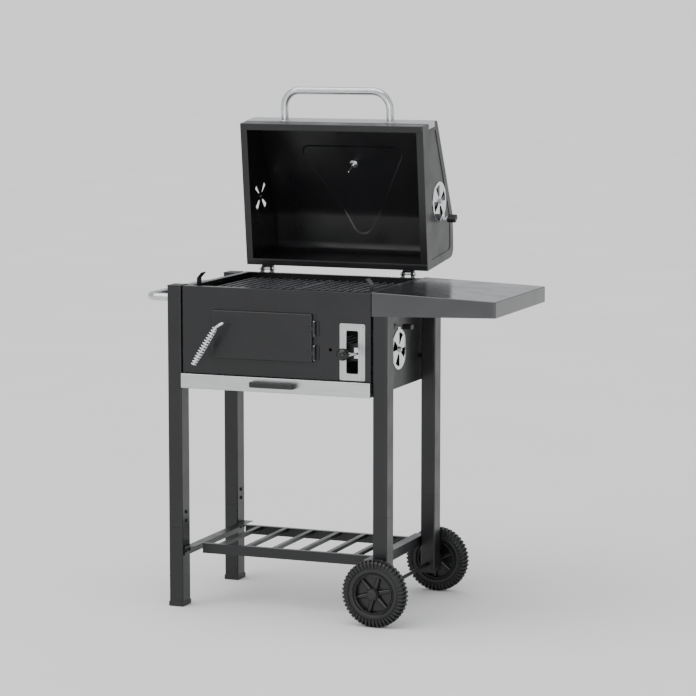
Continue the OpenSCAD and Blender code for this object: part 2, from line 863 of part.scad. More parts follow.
// The part of a solid hood, grown by d, above the pressed triangle of its top
module hood_bulge(d, shrink) {
    corners = inset(pressed_triangle, -shrink);
    flat = [for (c = rounded(corners, pressed_radii)) [c.x, hood_rear - c.y]];
    intersection() {
        along_x(-200, 200) hood_polygon(inset(hood_profile, d), hood_radii);
        translate([0, 0, hood_rim_z + 90]) linear_extrude(200) polygon(flat);
    }
}

module hood_shell() {
    x = hood_w / 2 - hood_side_t;
    inner = inset(hood_profile, -sheet);
    deep = [[inner[0].x, -5], inner[1], inner[2], inner[3], [inner[4].x, -5]];
    color(anthracite) open_hood() difference() {
        union() {
            difference() {
                along_x(-x, x) hood_polygon(hood_profile, hood_radii);
                along_x(-x - 1, x + 1) hood_polygon(deep, [0, 28 - sheet, 70 - sheet, 12 - sheet, 0]);
            }
            block(
                [-x, hood_rear - rim_flange, hood_rim_z],
                [x, hood_rear - sheet / 2, hood_rim_z + sheet]
            );
            block(
                [-x, hood_rear - hood_d + sheet / 2, hood_rim_z],
                [x, hood_rear - hood_d + rim_flange, hood_rim_z + sheet]
            );
            hood_bulge(press_d, 0);
        }
        hood_bulge(press_d - sheet, 3);
        on_slope(dial[0]) translate([0, 0, -10]) cylinder(r = stem_r + 0.2, h = 20);
        for (x = [-203, 198]) translate([x, hood_rear - hood_d + 8, hood_rim_z - 1]) cylinder(r = 2.5, h = 5);
    }
}

press_margin = 24;
side_field = [
    [press_margin, 33], [press_margin, 190], [115, 195], [hood_d - press_margin, 101], [hood_d - press_margin, 33]
];
field_radii = [8, 18, 50, 8, 8];

module hood_side(s) {
    x0 = hood_w / 2 - hood_side_t;
    x1 = hood_w / 2;
    vent = hood_point(hood_vent);
    color(anthracite) open_hood() scale([s, 1, 1]) difference() {
        union() {
            difference() {
                along_x(x0, x1) hood_polygon(hood_profile, hood_radii);
                along_x(x0 - 5, x1 + 5) hood_polygon(side_field, field_radii);
            }
            along_x(x0 - press_d, x0) hood_polygon(inset(side_field, 2), [10, 20, 52, 10, 10]);
            block(
                [x0 - rim_flange, hood_rear - hood_d + rim_flange, hood_rim_z],
                [x0 + hood_side_t / 2, hood_rear - rim_flange, hood_rim_z + sheet]
            );
        }
        along_x(x0 - 10, x1 + 10) translate(vent) vent_openings(hood_vent_turn);
        rod_x(rivet_r, x0 - 10, x1 + 10, vent.x, vent.y);
    }
}

module hood_side_left() { hood_side(-1); }
module hood_side_right() { hood_side(1); }

module hood_strip() {
    x = hood_w / 2;
    y = hood_rear - hood_d;
    color(steel) open_hood() difference() {
        union() {
            block([-x, y - strip_t, hood_rim_z + strip_q[0]], [x, y, hood_rim_z + strip_q[1]]);
            both_sides() block(
                [x, y - strip_t, hood_rim_z + strip_tab[0].y],
                [x + strip_t, hood_rear - strip_tab[0].x, hood_rim_z + strip_tab[1].y]
            );
        }
        both_sides() rod_y(handle_r + 0.1, grip_x_half, y - 5, y + 1, hood_rim_z + grip_q);
    }
}

module hood_handle() {
    y = hood_rear - hood_d;
    z = hood_rim_z + grip_q;
    y_bar = y - grip_reach;
    color(steel) open_hood() {
        rod_x(handle_r, -grip_x_half + grip_bend, grip_x_half - grip_bend, y_bar, z);
        both_sides() {
            translate([grip_x_half - grip_bend, y_bar + grip_bend, z]) rotate(-90) bend(handle_r, grip_bend);
            rod_y(handle_r, grip_x_half, y_bar + grip_bend, y, z);
        }
    }
}

module hood_handle_rosettes() {
    y = hood_rear - hood_d - strip_t;
    z = hood_rim_z + grip_q;
    color(steel) open_hood() both_sides() difference() {
        translate([grip_x_half, y, z]) rotate([90, 0, 0]) cylinder(r1 = rosette_r, r2 = rosette_r - 3, h = rosette_h);
        rod_y(handle_r + 0.1, grip_x_half, y - 10, y + 1, z);
    }
}

hood_vent_x = hood_w / 2 - hood_side_t;

module hood_damper(openings) {
    vent = hood_point(hood_vent);
    open_hood() translate([hood_vent_x, vent.x, vent.y]) damper(hood_tab_turn, openings);
}

module hood_damper_right() { hood_damper(damper_turn_right); }
module hood_damper_left() { mirror([1, 0, 0]) hood_damper(damper_turn_left); }

module hood_damper_rivets() {
    vent = hood_point(hood_vent);
    open_hood() both_sides() translate([hood_vent_x, vent.x, vent.y]) damper_rivet();
}

module thermometer() {
    base = press_d;
    open_hood() on_slope(dial[0]) {
        color(chrome) difference() {
            translate([0, 0, base]) cylinder(r = dial[1], h = dial[2]);
            translate([0, 0, base + dial[2] - 3]) cylinder(r = dial[1] - 3, h = 5);
            translate([0, 0, base + dial[2] - 5]) cylinder(r = 2 + run, h = 5);
        }
        color(chrome) {
            translate([0, 0, -48]) cylinder(r = stem_r, h = 49 + base);
            translate([0, 0, press_d - sheet - 4]) cylinder(r = 6.5, h = 4, $fn = 6);
            translate([0, 0, press_d - sheet - 1]) cylinder(r = 11, h = 1);
        }
    }
}

module thermometer_needle() {
    open_hood() on_slope(dial[0]) translate([0, 0, press_d + dial[2] - 2.4]) color("#b02a22") {
        cylinder(r = 3.2, h = 1);
        translate([0, 0, -2]) cylinder(r = 2, h = 2.5);
        rotate(120) translate([-4, -1, 0]) cube([dial[1] - 8, 2, 0.8]);
    }
}

// ---------- hood hinges ----------

// A U-shaped clip under the hood's rear wall; the pin goes through its two cheeks
module hood_hinge_leaves() {
    color(anthracite) open_hood() both_sides() translate([hood_hinge_x, 0, 0]) difference() {
        union() {
            block([-cheek_x[1], hood_rear, hood_rim_z], [cheek_x[1], hood_rear + 2, hood_rim_z + 34]);
            both_sides() {
                block([cheek_x[0], hood_rear, hood_rim_z - 1], [cheek_x[1], axis_y, axis_z + 7]);
                rod_x(7, cheek_x[0], cheek_x[1], axis_y, axis_z);
            }
        }
        rod_x(pin_r + run, -50, 50, axis_y, axis_z);
    }
}

// Ears on the firebox's rear wall, joined by the web that the open hood leans on
module hood_hinge_brackets() {
    top = axis_z + 9.9;
    ear = [
        [rear_y, rim_h - 40], [rear_y + 14, rim_h - 40], [axis_y + stop_y + 4, axis_z - 6],
        [axis_y + stop_y + 4, top], [axis_y, top], [axis_y - 7, axis_z + 4], [axis_y - 7, rim_h + 2], [rear_y, rim_h]
    ];
    color(anthracite) both_sides() translate([hood_hinge_x, 0, 0]) difference() {
        union() {
            both_sides() along_x(ear_x[0], ear_x[1]) polygon(ear);
            block([-ear_x[1], rear_y, rim_h - 40], [ear_x[1], rear_y + 2, rim_h - 4]);
            block([-ear_x[1], axis_y + stop_y, axis_z + 3], [ear_x[1], axis_y + stop_y + 4, top]);
        }
        rod_x(pin_r + run, -50, 50, axis_y, axis_z);
    }
}

module hood_hinge_pins() {
    color(chrome) both_sides() translate([hood_hinge_x, 0, 0]) {
        rod_x(pin_r, -ear_x[1] - 6, ear_x[1] + 8, axis_y, axis_z);
        rod_x(pin_r + 2.5, ear_x[1] + 0.2, ear_x[1] + 4, axis_y, axis_z);
        rod_x(pin_r + 2.5, -ear_x[1] - 4, -ear_x[1] - 0.2, axis_y, axis_z);
    }
}

// ---------- nodes ----------

module place() {
    translate([-middle.x, -middle.y, 0]) children();
}

place() leg_upper_front_left();
place() leg_upper_rear_left();
place() leg_upper_front_right();
place() leg_upper_rear_right();
place() leg_lower_front_left();
place() leg_lower_rear_left();
place() leg_lower_front_right();
place() leg_lower_rear_right();
place() leg_caps();
place() frame_bolts();
place() shelf_rail_front();
place() shelf_rail_rear();
place() shelf_rail_left();
place() shelf_rail_right();
place() shelf_slats();
place() axle();
place() wheel_front();
place() wheel_rear();
place() hub_caps();
place() firebox_front();
place() firebox_rear();
place() firebox_left();
place() firebox_right();
place() drawer_runners();
place() ash_drawer();
place() drawer_front();
place() drawer_handle();
place() bezel_plate();
place() bezel_screws();
place() fire_door();
place() door_hinge_leaves();
place() door_hinge_pins();
place() door_handle_rod();
place() door_handle_coil();
place() lift_lever();
place() lever_knob();
place() charcoal_pan();
place() charcoal_grate();
place() cooking_grate_left();
place() cooking_grate_right();
place() rack_hooks();
place() side_table();
place() carry_handle();
place() firebox_damper_left();
place() firebox_damper_right();
place() firebox_damper_rivets();
place() hood_shell();
place() hood_side_left();
place() hood_side_right();
place() hood_strip();
place() hood_handle();
place() hood_handle_rosettes();
place() hood_damper_left();
place() hood_damper_right();
place() hood_damper_rivets();
place() thermometer();
place() thermometer_needle();
place() hood_hinge_leaves();
place() hood_hinge_brackets();
place() hood_hinge_pins();
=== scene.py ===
"""Charcoal grill cart: finishes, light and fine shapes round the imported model.

Sizes are in cart millimetres: X and Y from the middle of the four legs, Z from the ground.
"""

import json
import math

import bmesh
import bpy
from mathutils import Matrix, Vector


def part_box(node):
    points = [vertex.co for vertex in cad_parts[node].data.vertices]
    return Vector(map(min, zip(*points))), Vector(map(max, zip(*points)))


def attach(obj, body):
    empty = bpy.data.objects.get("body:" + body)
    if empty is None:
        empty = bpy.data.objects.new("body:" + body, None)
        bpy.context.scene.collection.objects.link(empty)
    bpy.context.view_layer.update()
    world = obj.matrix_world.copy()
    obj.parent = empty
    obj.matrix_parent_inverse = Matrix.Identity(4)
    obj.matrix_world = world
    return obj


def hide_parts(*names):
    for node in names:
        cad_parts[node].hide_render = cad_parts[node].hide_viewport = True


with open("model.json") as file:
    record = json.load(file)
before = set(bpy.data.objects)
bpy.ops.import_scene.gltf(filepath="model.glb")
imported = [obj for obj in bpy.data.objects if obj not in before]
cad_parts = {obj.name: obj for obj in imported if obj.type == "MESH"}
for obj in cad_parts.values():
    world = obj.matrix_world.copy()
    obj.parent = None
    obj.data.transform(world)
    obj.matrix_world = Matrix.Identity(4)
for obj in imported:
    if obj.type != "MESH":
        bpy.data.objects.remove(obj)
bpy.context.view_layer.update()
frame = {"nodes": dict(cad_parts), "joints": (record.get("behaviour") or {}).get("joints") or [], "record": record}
bodies_of = {node: body for body, nodes in frame["record"]["behaviour"]["bodies"].items() for node in nodes}
slots_of = {row["node"]: row["material_slot"] for row in frame["record"]["subparts"]}
joints = {joint["name"]: joint for joint in frame["joints"]}

MM = 0.001
leg_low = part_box("leg_upper_front_left")[0]
leg_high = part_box("leg_upper_rear_right")[1]
CART = Vector(((leg_low.x + leg_high.x) / 2, (leg_low.y + leg_high.y) / 2, 0))
TO_FRAME = Matrix.Translation(CART) @ Matrix.Scale(MM, 4)
TO_CART = TO_FRAME.inverted()

# The hood is drawn closed and swung open about its pins
HOOD_OPEN = math.radians(joints["hood_hinge"]["range_deg"][1])
HOOD_AXIS = TO_CART @ Vector(joints["hood_hinge"]["pos_m"])
OPENED = (
    Matrix.Translation(HOOD_AXIS) @ Matrix.Rotation(-HOOD_OPEN, 4, "X") @ Matrix.Translation(-HOOD_AXIS)
)
CLOSED = OPENED.inverted()


def cart_box(node):
    """Lowest and highest corner of a node, in cart millimetres."""
    low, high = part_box(node)
    return TO_CART @ low, TO_CART @ high


# ---------- materials ----------

def colour(code):
    """An sRGB hex code as linear RGBA."""
    parts = [int(code[i:i + 2], 16) / 255 for i in (0, 2, 4)]
    return [c / 12.92 if c <= 0.04045 else ((c + 0.055) / 1.055) ** 2.4 for c in parts] + [1.0]


def add(tree, kind, links=None, **settings):
    """Adds a node, sets its properties and sockets, and links sockets from (node, output) pairs."""
    node = tree.nodes.new(kind)
    for key, value in settings.items():
        if hasattr(node, key):
            setattr(node, key, value)
        else:
            node.inputs[key.replace("_", " ")].default_value = value
    for key, (source, output) in (links or {}).items():
        tree.links.new(source.outputs[output], node.inputs[key])
    return node


def new_material(name):
    """An empty node material with Object coordinates and its Principled shader, wired to the output."""
    material = bpy.data.materials.new(name)
    material.use_nodes = True
    tree = material.node_tree
    tree.nodes.clear()
    place = add(tree, "ShaderNodeTexCoord")
    shader = add(tree, "ShaderNodeBsdfPrincipled")
    add(tree, "ShaderNodeOutputMaterial", {"Surface": (shader, "BSDF")})
    return material, tree, place, shader


def fineness(size_mm):
    """The scale of a texture whose features are about size_mm across."""
    return 1 / (size_mm * MM)


def two_tones(ramp, dark, light, low=0.3, high=0.7):
    """Sets the two stops of a colour ramp."""
    for stop, place, code in zip(ramp.color_ramp.elements, (low, high), (dark, light)):
        stop.position = place
        stop.color = colour(code)
    return ramp


def wire(tree, shader, **links):
    """Links (node, output) pairs to the shader's sockets."""
    for key, (source, output) in links.items():
        tree.links.new(source.outputs[output], shader.inputs[key.replace("_", " ")])


SOFT = 0.55                                     # how quickly a noise's finer layers fade
MIDDLE = {"From_Min": 0.3, "From_Max": 0.7}     # where nearly all of a noise's values lie


def powder_coat(name, dark, light, roughness, shine=0.42):
    # Polyester powder coat on steel sheet: satin, with a fine even orange peel and slight waves
    material, tree, place, shader = new_material(name)
    at = {"Vector": (place, "Object")}
    peel = add(tree, "ShaderNodeTexNoise", at, Scale=fineness(1.3), Detail=2.0, Roughness=SOFT)
    wave = add(tree, "ShaderNodeTexNoise", at, Scale=fineness(70), Detail=1.0, Roughness=SOFT)
    cloud = add(tree, "ShaderNodeTexNoise", at, Scale=fineness(160), Detail=4.0, Roughness=SOFT)
    tone = two_tones(add(tree, "ShaderNodeValToRGB", {"Fac": (cloud, "Fac")}), dark, light)
    gloss = add(tree, "ShaderNodeMapRange", {"Value": (wave, "Fac")}, To_Min=roughness - 0.05,
                To_Max=roughness + 0.06, **MIDDLE)
    sheet_bump = add(tree, "ShaderNodeBump", {"Height": (wave, "Fac")}, Strength=0.05, Distance=0.6 * MM)
    bump = add(tree, "ShaderNodeBump", {"Height": (peel, "Fac"), "Normal": (sheet_bump, "Normal")},
               Strength=0.25, Distance=0.05 * MM)
    wire(tree, shader, Base_Color=(tone, "Color"), Roughness=(gloss, "Result"), Normal=(bump, "Normal"))
    shader.inputs["IOR"].default_value = 1.5
    shader.inputs["Specular IOR Level"].default_value = shine
    return material


def brushed_steel(name, along, dark, light, roughness):
    # Stainless sheet ground in one direction: long fine streaks, drawn about four times their real width
    material, tree, place, shader = new_material(name)
    at = {"Vector": (place, "Object")}
    drawn_out = [1 / 140 if axis == along else 1.0 for axis in "XYZ"]
    ground = add(tree, "ShaderNodeMapping", at, Scale=drawn_out)
    streaks = add(tree, "ShaderNodeTexNoise", {"Vector": (ground, "Vector")}, Scale=fineness(0.7), Detail=4.0,
                  Roughness=0.7)
    smudge = add(tree, "ShaderNodeTexNoise", at, Scale=fineness(60), Detail=3.0, Roughness=SOFT)
    tone = two_tones(add(tree, "ShaderNodeValToRGB", {"Fac": (streaks, "Fac")}), dark, light, 0.2, 0.8)
    gloss = add(tree, "ShaderNodeMapRange", {"Value": (streaks, "Fac")}, To_Min=roughness - 0.06,
                To_Max=roughness + 0.1, **MIDDLE)
    bump = add(tree, "ShaderNodeBump", {"Height": (streaks, "Fac")}, Strength=0.25, Distance=0.04 * MM)
    film = add(tree, "ShaderNodeBump", {"Height": (smudge, "Fac"), "Normal": (bump, "Normal")},
               Strength=0.05, Distance=0.8 * MM)
    wire(tree, shader, Base_Color=(tone, "Color"), Roughness=(gloss, "Result"), Normal=(film, "Normal"))
    shader.inputs["Metallic"].default_value = 1.0
    shader.inputs["Anisotropic"].default_value = 0.4
    return material


def plated(name, dark, light, low, high, size_mm=18):
    # Plated or polished steel: bright, with faint cloudy handling marks in its gloss
    material, tree, place, shader = new_material(name)
    at = {"Vector": (place, "Object")}
    marks = add(tree, "ShaderNodeTexNoise", at, Scale=fineness(size_mm), Detail=5.0, Roughness=SOFT)
    fine = add(tree, "ShaderNodeTexNoise", at, Scale=fineness(0.9), Detail=2.0, Roughness=SOFT)
    tone = two_tones(add(tree, "ShaderNodeValToRGB", {"Fac": (marks, "Fac")}), dark, light)
    gloss = add(tree, "ShaderNodeMapRange", {"Value": (marks, "Fac")}, To_Min=low, To_Max=high, **MIDDLE)
    bump = add(tree, "ShaderNodeBump", {"Height": (fine, "Fac")}, Strength=0.05, Distance=0.03 * MM)
    wire(tree, shader, Base_Color=(tone, "Color"), Roughness=(gloss, "Result"), Normal=(bump, "Normal"))
    shader.inputs["Metallic"].default_value = 1.0
    return material


def moulded(name, dark, light, low, high, grain_mm, depth_mm=0.08):
    # Injection-moulded black plastic: spark-eroded grain and a soft sheen
    material, tree, place, shader = new_material(name)
    at = {"Vector": (place, "Object")}
    grain = add(tree, "ShaderNodeTexNoise", at, Scale=fineness(grain_mm), Detail=3.0, Roughness=SOFT)
    cloud = add(tree, "ShaderNodeTexNoise", at, Scale=fineness(35), Detail=4.0, Roughness=SOFT)
    tone = two_tones(add(tree, "ShaderNodeValToRGB", {"Fac": (cloud, "Fac")}), dark, light)
    gloss = add(tree, "ShaderNodeMapRange", {"Value": (cloud, "Fac")}, To_Min=low, To_Max=high, **MIDDLE)
    bump = add(tree, "ShaderNodeBump", {"Height": (grain, "Fac")}, Strength=0.4, Distance=depth_mm * MM)
    wire(tree, shader, Base_Color=(tone, "Color"), Roughness=(gloss, "Result"), Normal=(bump, "Normal"))
    shader.inputs["IOR"].default_value = 1.46
    return material


def enamel(name, dark, light, low, high):
    # Vitreous enamel fused on iron: glossy with pooled, rippled flow
    material, tree, place, shader = new_material(name)
    at = {"Vector": (place, "Object")}
    flow = add(tree, "ShaderNodeTexNoise", at, Scale=fineness(6), Detail=3.0, Roughness=SOFT)
    cloud = add(tree, "ShaderNodeTexNoise", at, Scale=fineness(45), Detail=4.0, Roughness=SOFT)
    tone = two_tones(add(tree, "ShaderNodeValToRGB", {"Fac": (cloud, "Fac")}), dark, light)
    gloss = add(tree, "ShaderNodeMapRange", {"Value": (cloud, "Fac")}, To_Min=low, To_Max=high, **MIDDLE)
    bump = add(tree, "ShaderNodeBump", {"Height": (flow, "Fac")}, Strength=0.3, Distance=0.2 * MM)
    wire(tree, shader, Base_Color=(tone, "Color"), Roughness=(gloss, "Result"), Normal=(bump, "Normal"))
    shader.inputs["IOR"].default_value = 1.55
    return material


def galvanised(name):
    # Hot-dip zinc: angular spangle a centimetre across, each crystal with its own gloss
    material, tree, place, shader = new_material(name)
    crystal = add(tree, "ShaderNodeTexVoronoi", {"Vector": (place, "Object")}, Scale=fineness(9))
    grey = add(tree, "ShaderNodeSeparateColor", {"Color": (crystal, "Color")})
    tone = two_tones(add(tree, "ShaderNodeValToRGB", {"Fac": (grey, "Red")}), "8d9093", "b4b6b8", 0.0, 1.0)
    gloss = add(tree, "ShaderNodeMapRange", {"Value": (grey, "Green")}, To_Min=0.3, To_Max=0.5)
    bump = add(tree, "ShaderNodeBump", {"Height": (grey, "Blue")}, Strength=0.15, Distance=0.1 * MM)
    wire(tree, shader, Base_Color=(tone, "Color"), Roughness=(gloss, "Result"), Normal=(bump, "Normal"))
    shader.inputs["Metallic"].default_value = 1.0
    return material


def clear_glass(name):
    # Float glass: clear, a little green, with faint wipe marks in its gloss
    material, tree, place, shader = new_material(name)
    marks = add(tree, "ShaderNodeTexNoise", {"Vector": (place, "Object")}, Scale=fineness(9), Detail=4.0,
                Roughness=SOFT)
    gloss = add(tree, "ShaderNodeMapRange", {"Value": (marks, "Fac")}, To_Min=0.01, To_Max=0.05, **MIDDLE)
    wire(tree, shader, Roughness=(gloss, "Result"))
    shader.inputs["Base Color"].default_value = colour("f4faf7")
    shader.inputs["Transmission Weight"].default_value = 1.0
    shader.inputs["IOR"].default_value = 1.52
    return material


GLASS = clear_glass("clear_dial_glass")
COAT = powder_coat("satin_anthracite_powder_coat", "161618", "1b1b1e", 0.32)
# The side table is coated smoother than the rest, so its flat top shines at a low angle
COAT_TOP = powder_coat("smooth_anthracite_powder_coat", "17181b", "1c1d21", 0.17, shine=1.0)
TRIM_X = brushed_steel("brushed_stainless_sheet", "X", "a9aaac", "d6d7d8", 0.3)
TRIM_Z = brushed_steel("brushed_stainless_upright", "Z", "a3a4a6", "cfd0d1", 0.28)
TUBE = plated("satin_stainless_tube", "b9babd", "cfd0d2", 0.16, 0.26)
CHROME = plated("bright_chrome_plate", "d2d3d6", "e4e5e7", 0.05, 0.12)
ZINC = plated("bright_zinc_plate", "a9abae", "c3c4c6", 0.22, 0.36, 4)
BLACK_PLASTIC = moulded("black_polyamide_moulding", "161618", "1d1d1f", 0.38, 0.5, 0.8)
TYRE_PLASTIC = moulded("black_polypropylene_tread", "121213", "19191b", 0.28, 0.42, 1.1)
KNOB_PLASTIC = moulded("polished_black_phenolic", "0d0d0e", "121213", 0.1, 0.2, 2.5, 0.01)
# The grates' black enamel is coloured mid grey: painted sheen that stands in for the sky reflected along the bars'
# rounded tops
GRATE_ENAMEL_PAINTED_SHEEN = enamel("black_enamel_painted_sheen", "434346", "525256", 0.22, 0.36)
PAN_ENAMEL = enamel("dull_black_enamel", "171717", "202021", 0.4, 0.6)
BLACK_ZINC = plated("black_zinc_plate", "1b1b1d", "29292c", 0.3, 0.46, 5)
ZINC_SHEET = galvanised("galvanised_sheet")
RIM_PLASTIC = moulded("black_polypropylene_rim", "121214", "18181a", 0.16, 0.28, 1.4, 0.03)
DIAL_PAPER = moulded("white_dial_print", "dcdcd8", "e6e6e2", 0.5, 0.6, 2.0, 0.01)
DIAL_INK = moulded("black_dial_ink", "121212", "161616", 0.5, 0.6, 2.0, 0.01)
NEEDLE_PAINT = moulded("red_dial_paint", "8f1d17", "a3241c", 0.3, 0.45, 1.5, 0.01)

FINISH = {
    "powder_coat": COAT, "stainless": TRIM_X, "galvanised": ZINC_SHEET, "chrome": CHROME,
    "plastic": BLACK_PLASTIC, "enamel": PAN_ENAMEL, "grate_iron": GRATE_ENAMEL_PAINTED_SHEEN, "needle_paint": NEEDLE_PAINT,
}


# ---------- making and showing pieces ----------

def show(name, bm, node, material=None, smooth=32, wall_mm=0.0):
    """Makes a bmesh in the frame's metres a piece that rides on its node's body and replaces the node."""
    mesh = bpy.data.meshes.new(name)
    bm.to_mesh(mesh)
    bm.free()
    mesh.shade_smooth()
    mesh.set_sharp_from_angle(angle=math.radians(smooth))
    mesh.materials.append(material or FINISH[slots_of[node]])
    piece = bpy.data.objects.new(name, mesh)
    bpy.context.scene.collection.objects.link(piece)
    if wall_mm:
        wall = piece.modifiers.new("sheet", "SOLIDIFY")
        wall.thickness = wall_mm * MM
        wall.offset = -1
        wall.use_even_offset = True
    even = piece.modifiers.new("even_normals", "WEIGHTED_NORMAL")
    even.keep_sharp = True
    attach(piece, bodies_of[node])
    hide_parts(node)


def way_home(opened):
    """The move from cart millimetres to the frame; a piece drawn on the closed hood swings open with it."""
    return TO_FRAME @ OPENED if opened else TO_FRAME


def settle(bm, opened=False):
    """Merges doubles, turns the faces outwards and moves a bmesh from cart millimetres to the frame."""
    bmesh.ops.remove_doubles(bm, verts=bm.verts, dist=0.002)
    bmesh.ops.recalc_face_normals(bm, faces=bm.faces)
    bmesh.ops.transform(bm, matrix=way_home(opened), verts=bm.verts)
    return bm


def bevel(bm, edges, width, segments=3):
    """Rounds edges over."""
    bmesh.ops.bevel(bm, geom=list(edges), offset=width, offset_type="OFFSET", segments=segments, profile=0.5,
                    affect="EDGES", clamp_overlap=True, material=-1)


def sharp_edges(bm, degrees=28):
    """The edges where the surface turns by more than a number of degrees."""
    limit = math.radians(degrees)
    return [e for e in bm.edges if e.is_manifold and e.calc_face_angle() > limit]


def copied(node):
    """A node's mesh as a bmesh of whole faces: doubles merged and flat neighbours joined."""
    bm = bmesh.new()
    bm.from_mesh(frame["nodes"][node].data)
    bmesh.ops.remove_doubles(bm, verts=bm.verts, dist=0.004 * MM)
    bmesh.ops.dissolve_limit(bm, angle_limit=math.radians(0.6), verts=bm.verts, edges=bm.edges)
    return bm


def eased(node, width_mm, material=None, folds=()):
    """A node with its sharp edges rounded over; folds lists wider ones as axis, place, axis, place, width."""
    bm = copied(node)
    for first, first_mm, second, second_mm, width in folds:
        def on_fold(vert):
            at = TO_CART @ vert.co
            return abs(at[first] - first_mm) < 0.01 and abs(at[second] - second_mm) < 0.01
        bevel(bm, [e for e in bm.edges if on_fold(e.verts[0]) and on_fold(e.verts[1])], width * MM, 4)
    bevel(bm, sharp_edges(bm), width_mm * MM, 2)
    show(node + "_eased", bm, node, material)


def arc(before, corner, after, radius, steps):
    """Points of the arc that rounds a corner of a path."""
    u = (before - corner).normalized()
    v = (after - corner).normalized()
    half = u.angle(v) / 2
    centre = corner + (u + v).normalized() * radius / math.sin(half)
    start = corner + u * radius / math.tan(half) - centre
    end = corner + v * radius / math.tan(half) - centre
    axis = start.cross(end)
    turn = start.angle(end)
    return [centre + Matrix.Rotation(turn * i / steps, 3, axis) @ start for i in range(steps + 1)]


def rounded(points, radii, steps=8, closed=True):
    """A path with its corners rounded, each with its own radius."""
    points = [Vector(p) for p in points]
    path = []
    count = len(points)
    for i, (point, radius) in enumerate(zip(points, radii)):
        if radius and (closed or 0 < i < count - 1):
            path += arc(points[i - 1], point, points[(i + 1) % count], radius, steps)
        else:
            path.append(point)
    return path


def loop_edges(bm, path):
    """A closed loop of edges through a path's points."""
    verts = [bm.verts.new(p) for p in path]
    return [bm.edges.new((verts[i - 1], verts[i])) for i in range(len(verts))]


def pushed(bm, faces, offset):
    """Extrudes faces by an offset."""
    out = bmesh.ops.extrude_face_region(bm, geom=faces)
    moved = [g for g in out["geom"] if isinstance(g, bmesh.types.BMVert)]
    bmesh.ops.translate(bm, vec=Vector(offset), verts=moved)


def prism(bm, path, offset):
    """A closed block: an outline pushed along an offset."""
    face = bm.faces.new([bm.verts.new(p) for p in path])
    pushed(bm, [face], offset)


def ring_prism(bm, outer, inner, offset):
    """A closed block between two outlines."""
    made = bmesh.ops.bridge_loops(bm, edges=loop_edges(bm, outer) + loop_edges(bm, inner))
    pushed(bm, made["faces"], offset)


def turned(bm, profile, centre, axis, steps=48, loop=False):
    """Spins a profile of (radius, place along the axis) points round an axis through centre."""
    axis = Vector(axis).normalized()
    side = axis.orthogonal().normalized()
    verts = [bm.verts.new(Vector(centre) + side * r + axis * h) for r, h in profile]
    pairs = list(zip(verts, verts[1:])) + ([(verts[-1], verts[0])] if loop else [])
    edges = [bm.edges.new(pair) for pair in pairs]
    bmesh.ops.spin(bm, geom=verts + edges, cent=Vector(centre), axis=axis, angle=math.tau, steps=steps,
                   use_merge=True, use_duplicate=False)


def repeated(bm, geometry, centre, axis, count):
    """Copies geometry round an axis, count times in all."""
    bmesh.ops.spin(bm, geom=geometry, cent=Vector(centre), axis=Vector(axis), steps=count - 1,
                   angle=math.tau * (count - 1) / count, use_merge=False, use_duplicate=True)


def rod(path, radius, opened=False, rings=10):
    """A round bar along a path, as a bmesh in the frame."""
    place = way_home(opened)
    curve = bpy.data.curves.new("path", "CURVE")
    curve.dimensions = "3D"
    line = curve.splines.new("POLY")
    line.points.add(len(path) - 1)
    for point, at in zip(line.points, path):
        point.co = (place @ Vector(at)).to_4d()
    curve.bevel_depth = radius * MM
    curve.bevel_resolution = rings
    curve.use_fill_caps = True
    holder = bpy.data.objects.new("path", curve)
    bpy.context.scene.collection.objects.link(holder)
    mesh = bpy.data.meshes.new_from_object(holder.evaluated_get(bpy.context.evaluated_depsgraph_get()))
    bm = bmesh.new()
    bm.from_mesh(mesh)
    bpy.data.objects.remove(holder)
    bpy.data.meshes.remove(mesh)
    bmesh.ops.remove_doubles(bm, verts=bm.verts, dist=0.001 * MM)
    bmesh.ops.recalc_face_normals(bm, faces=bm.faces)
    return bm


def box_path(x0, y0, x1, y1, z, radius):
    """A rounded rectangle at height z."""
    corners = [(x0, y0, z), (x1, y0, z), (x1, y1, z), (x0, y1, z)]
    return rounded(corners, [radius] * 4, 5)


# ---------- legs ----------

LEG_RADIUS = 3.5
LEG_WALL = 1.5
LEG_SEAM = 0.2             # half of the gap that shows between an upper and a lower leg
NECK = 60                  # how far a lower leg's thinner neck reaches up inside the upper leg
NECK_FOOT = 8              # how far the neck's tube runs down inside its own leg
NECK_SHRINK = LEG_WALL + 0.25


def leg_tube(bm, low, high, z0, z1, shrink=0.0):
    """A rectangular tube with rounded corners."""
    a, b = shrink, shrink + LEG_WALL
    ring_prism(
        bm,
        box_path(low.x + a, low.y + a, high.x - a, high.y - a, z0, LEG_RADIUS),
        box_path(low.x + b, low.y + b, high.x - b, high.y - b, z0, LEG_RADIUS - LEG_WALL / 2),
        (0, 0, z1 - z0),
    )


def leg(node):
    """An upper leg, or a lower leg with its neck."""
    low, high = cart_box(node)
    bm = bmesh.new()
    if "lower" in node:
        leg_tube(bm, low, high, low.z, high.z - NECK - LEG_SEAM)
        leg_tube(bm, low, high, high.z - NECK - NECK_FOOT, high.z, NECK_SHRINK)
    else:
        leg_tube(bm, low, high, low.z + LEG_SEAM, high.z)
    show(node + "_tube", settle(bm), node)


# ---------- wheels ----------

LUGS = 48
LUG_WIDTH = 5.8
LUG_LEAN = 0.22
SPOKES = 6
SPOKE_FOOT = 15            # a spoke's start and length along the radius
SPOKE_LENGTH = 34
SPOKE_TAPER = (0.8, 0.86, 1)
SPOKE_TURN = {"wheel_front": 16, "wheel_rear": 7}


def joined(bm, other):
    """Adds another bmesh to this one."""
    mesh = bpy.data.meshes.new("part")
    other.to_mesh(mesh)
    other.free()
    bm.from_mesh(mesh)
    bpy.data.meshes.remove(mesh)


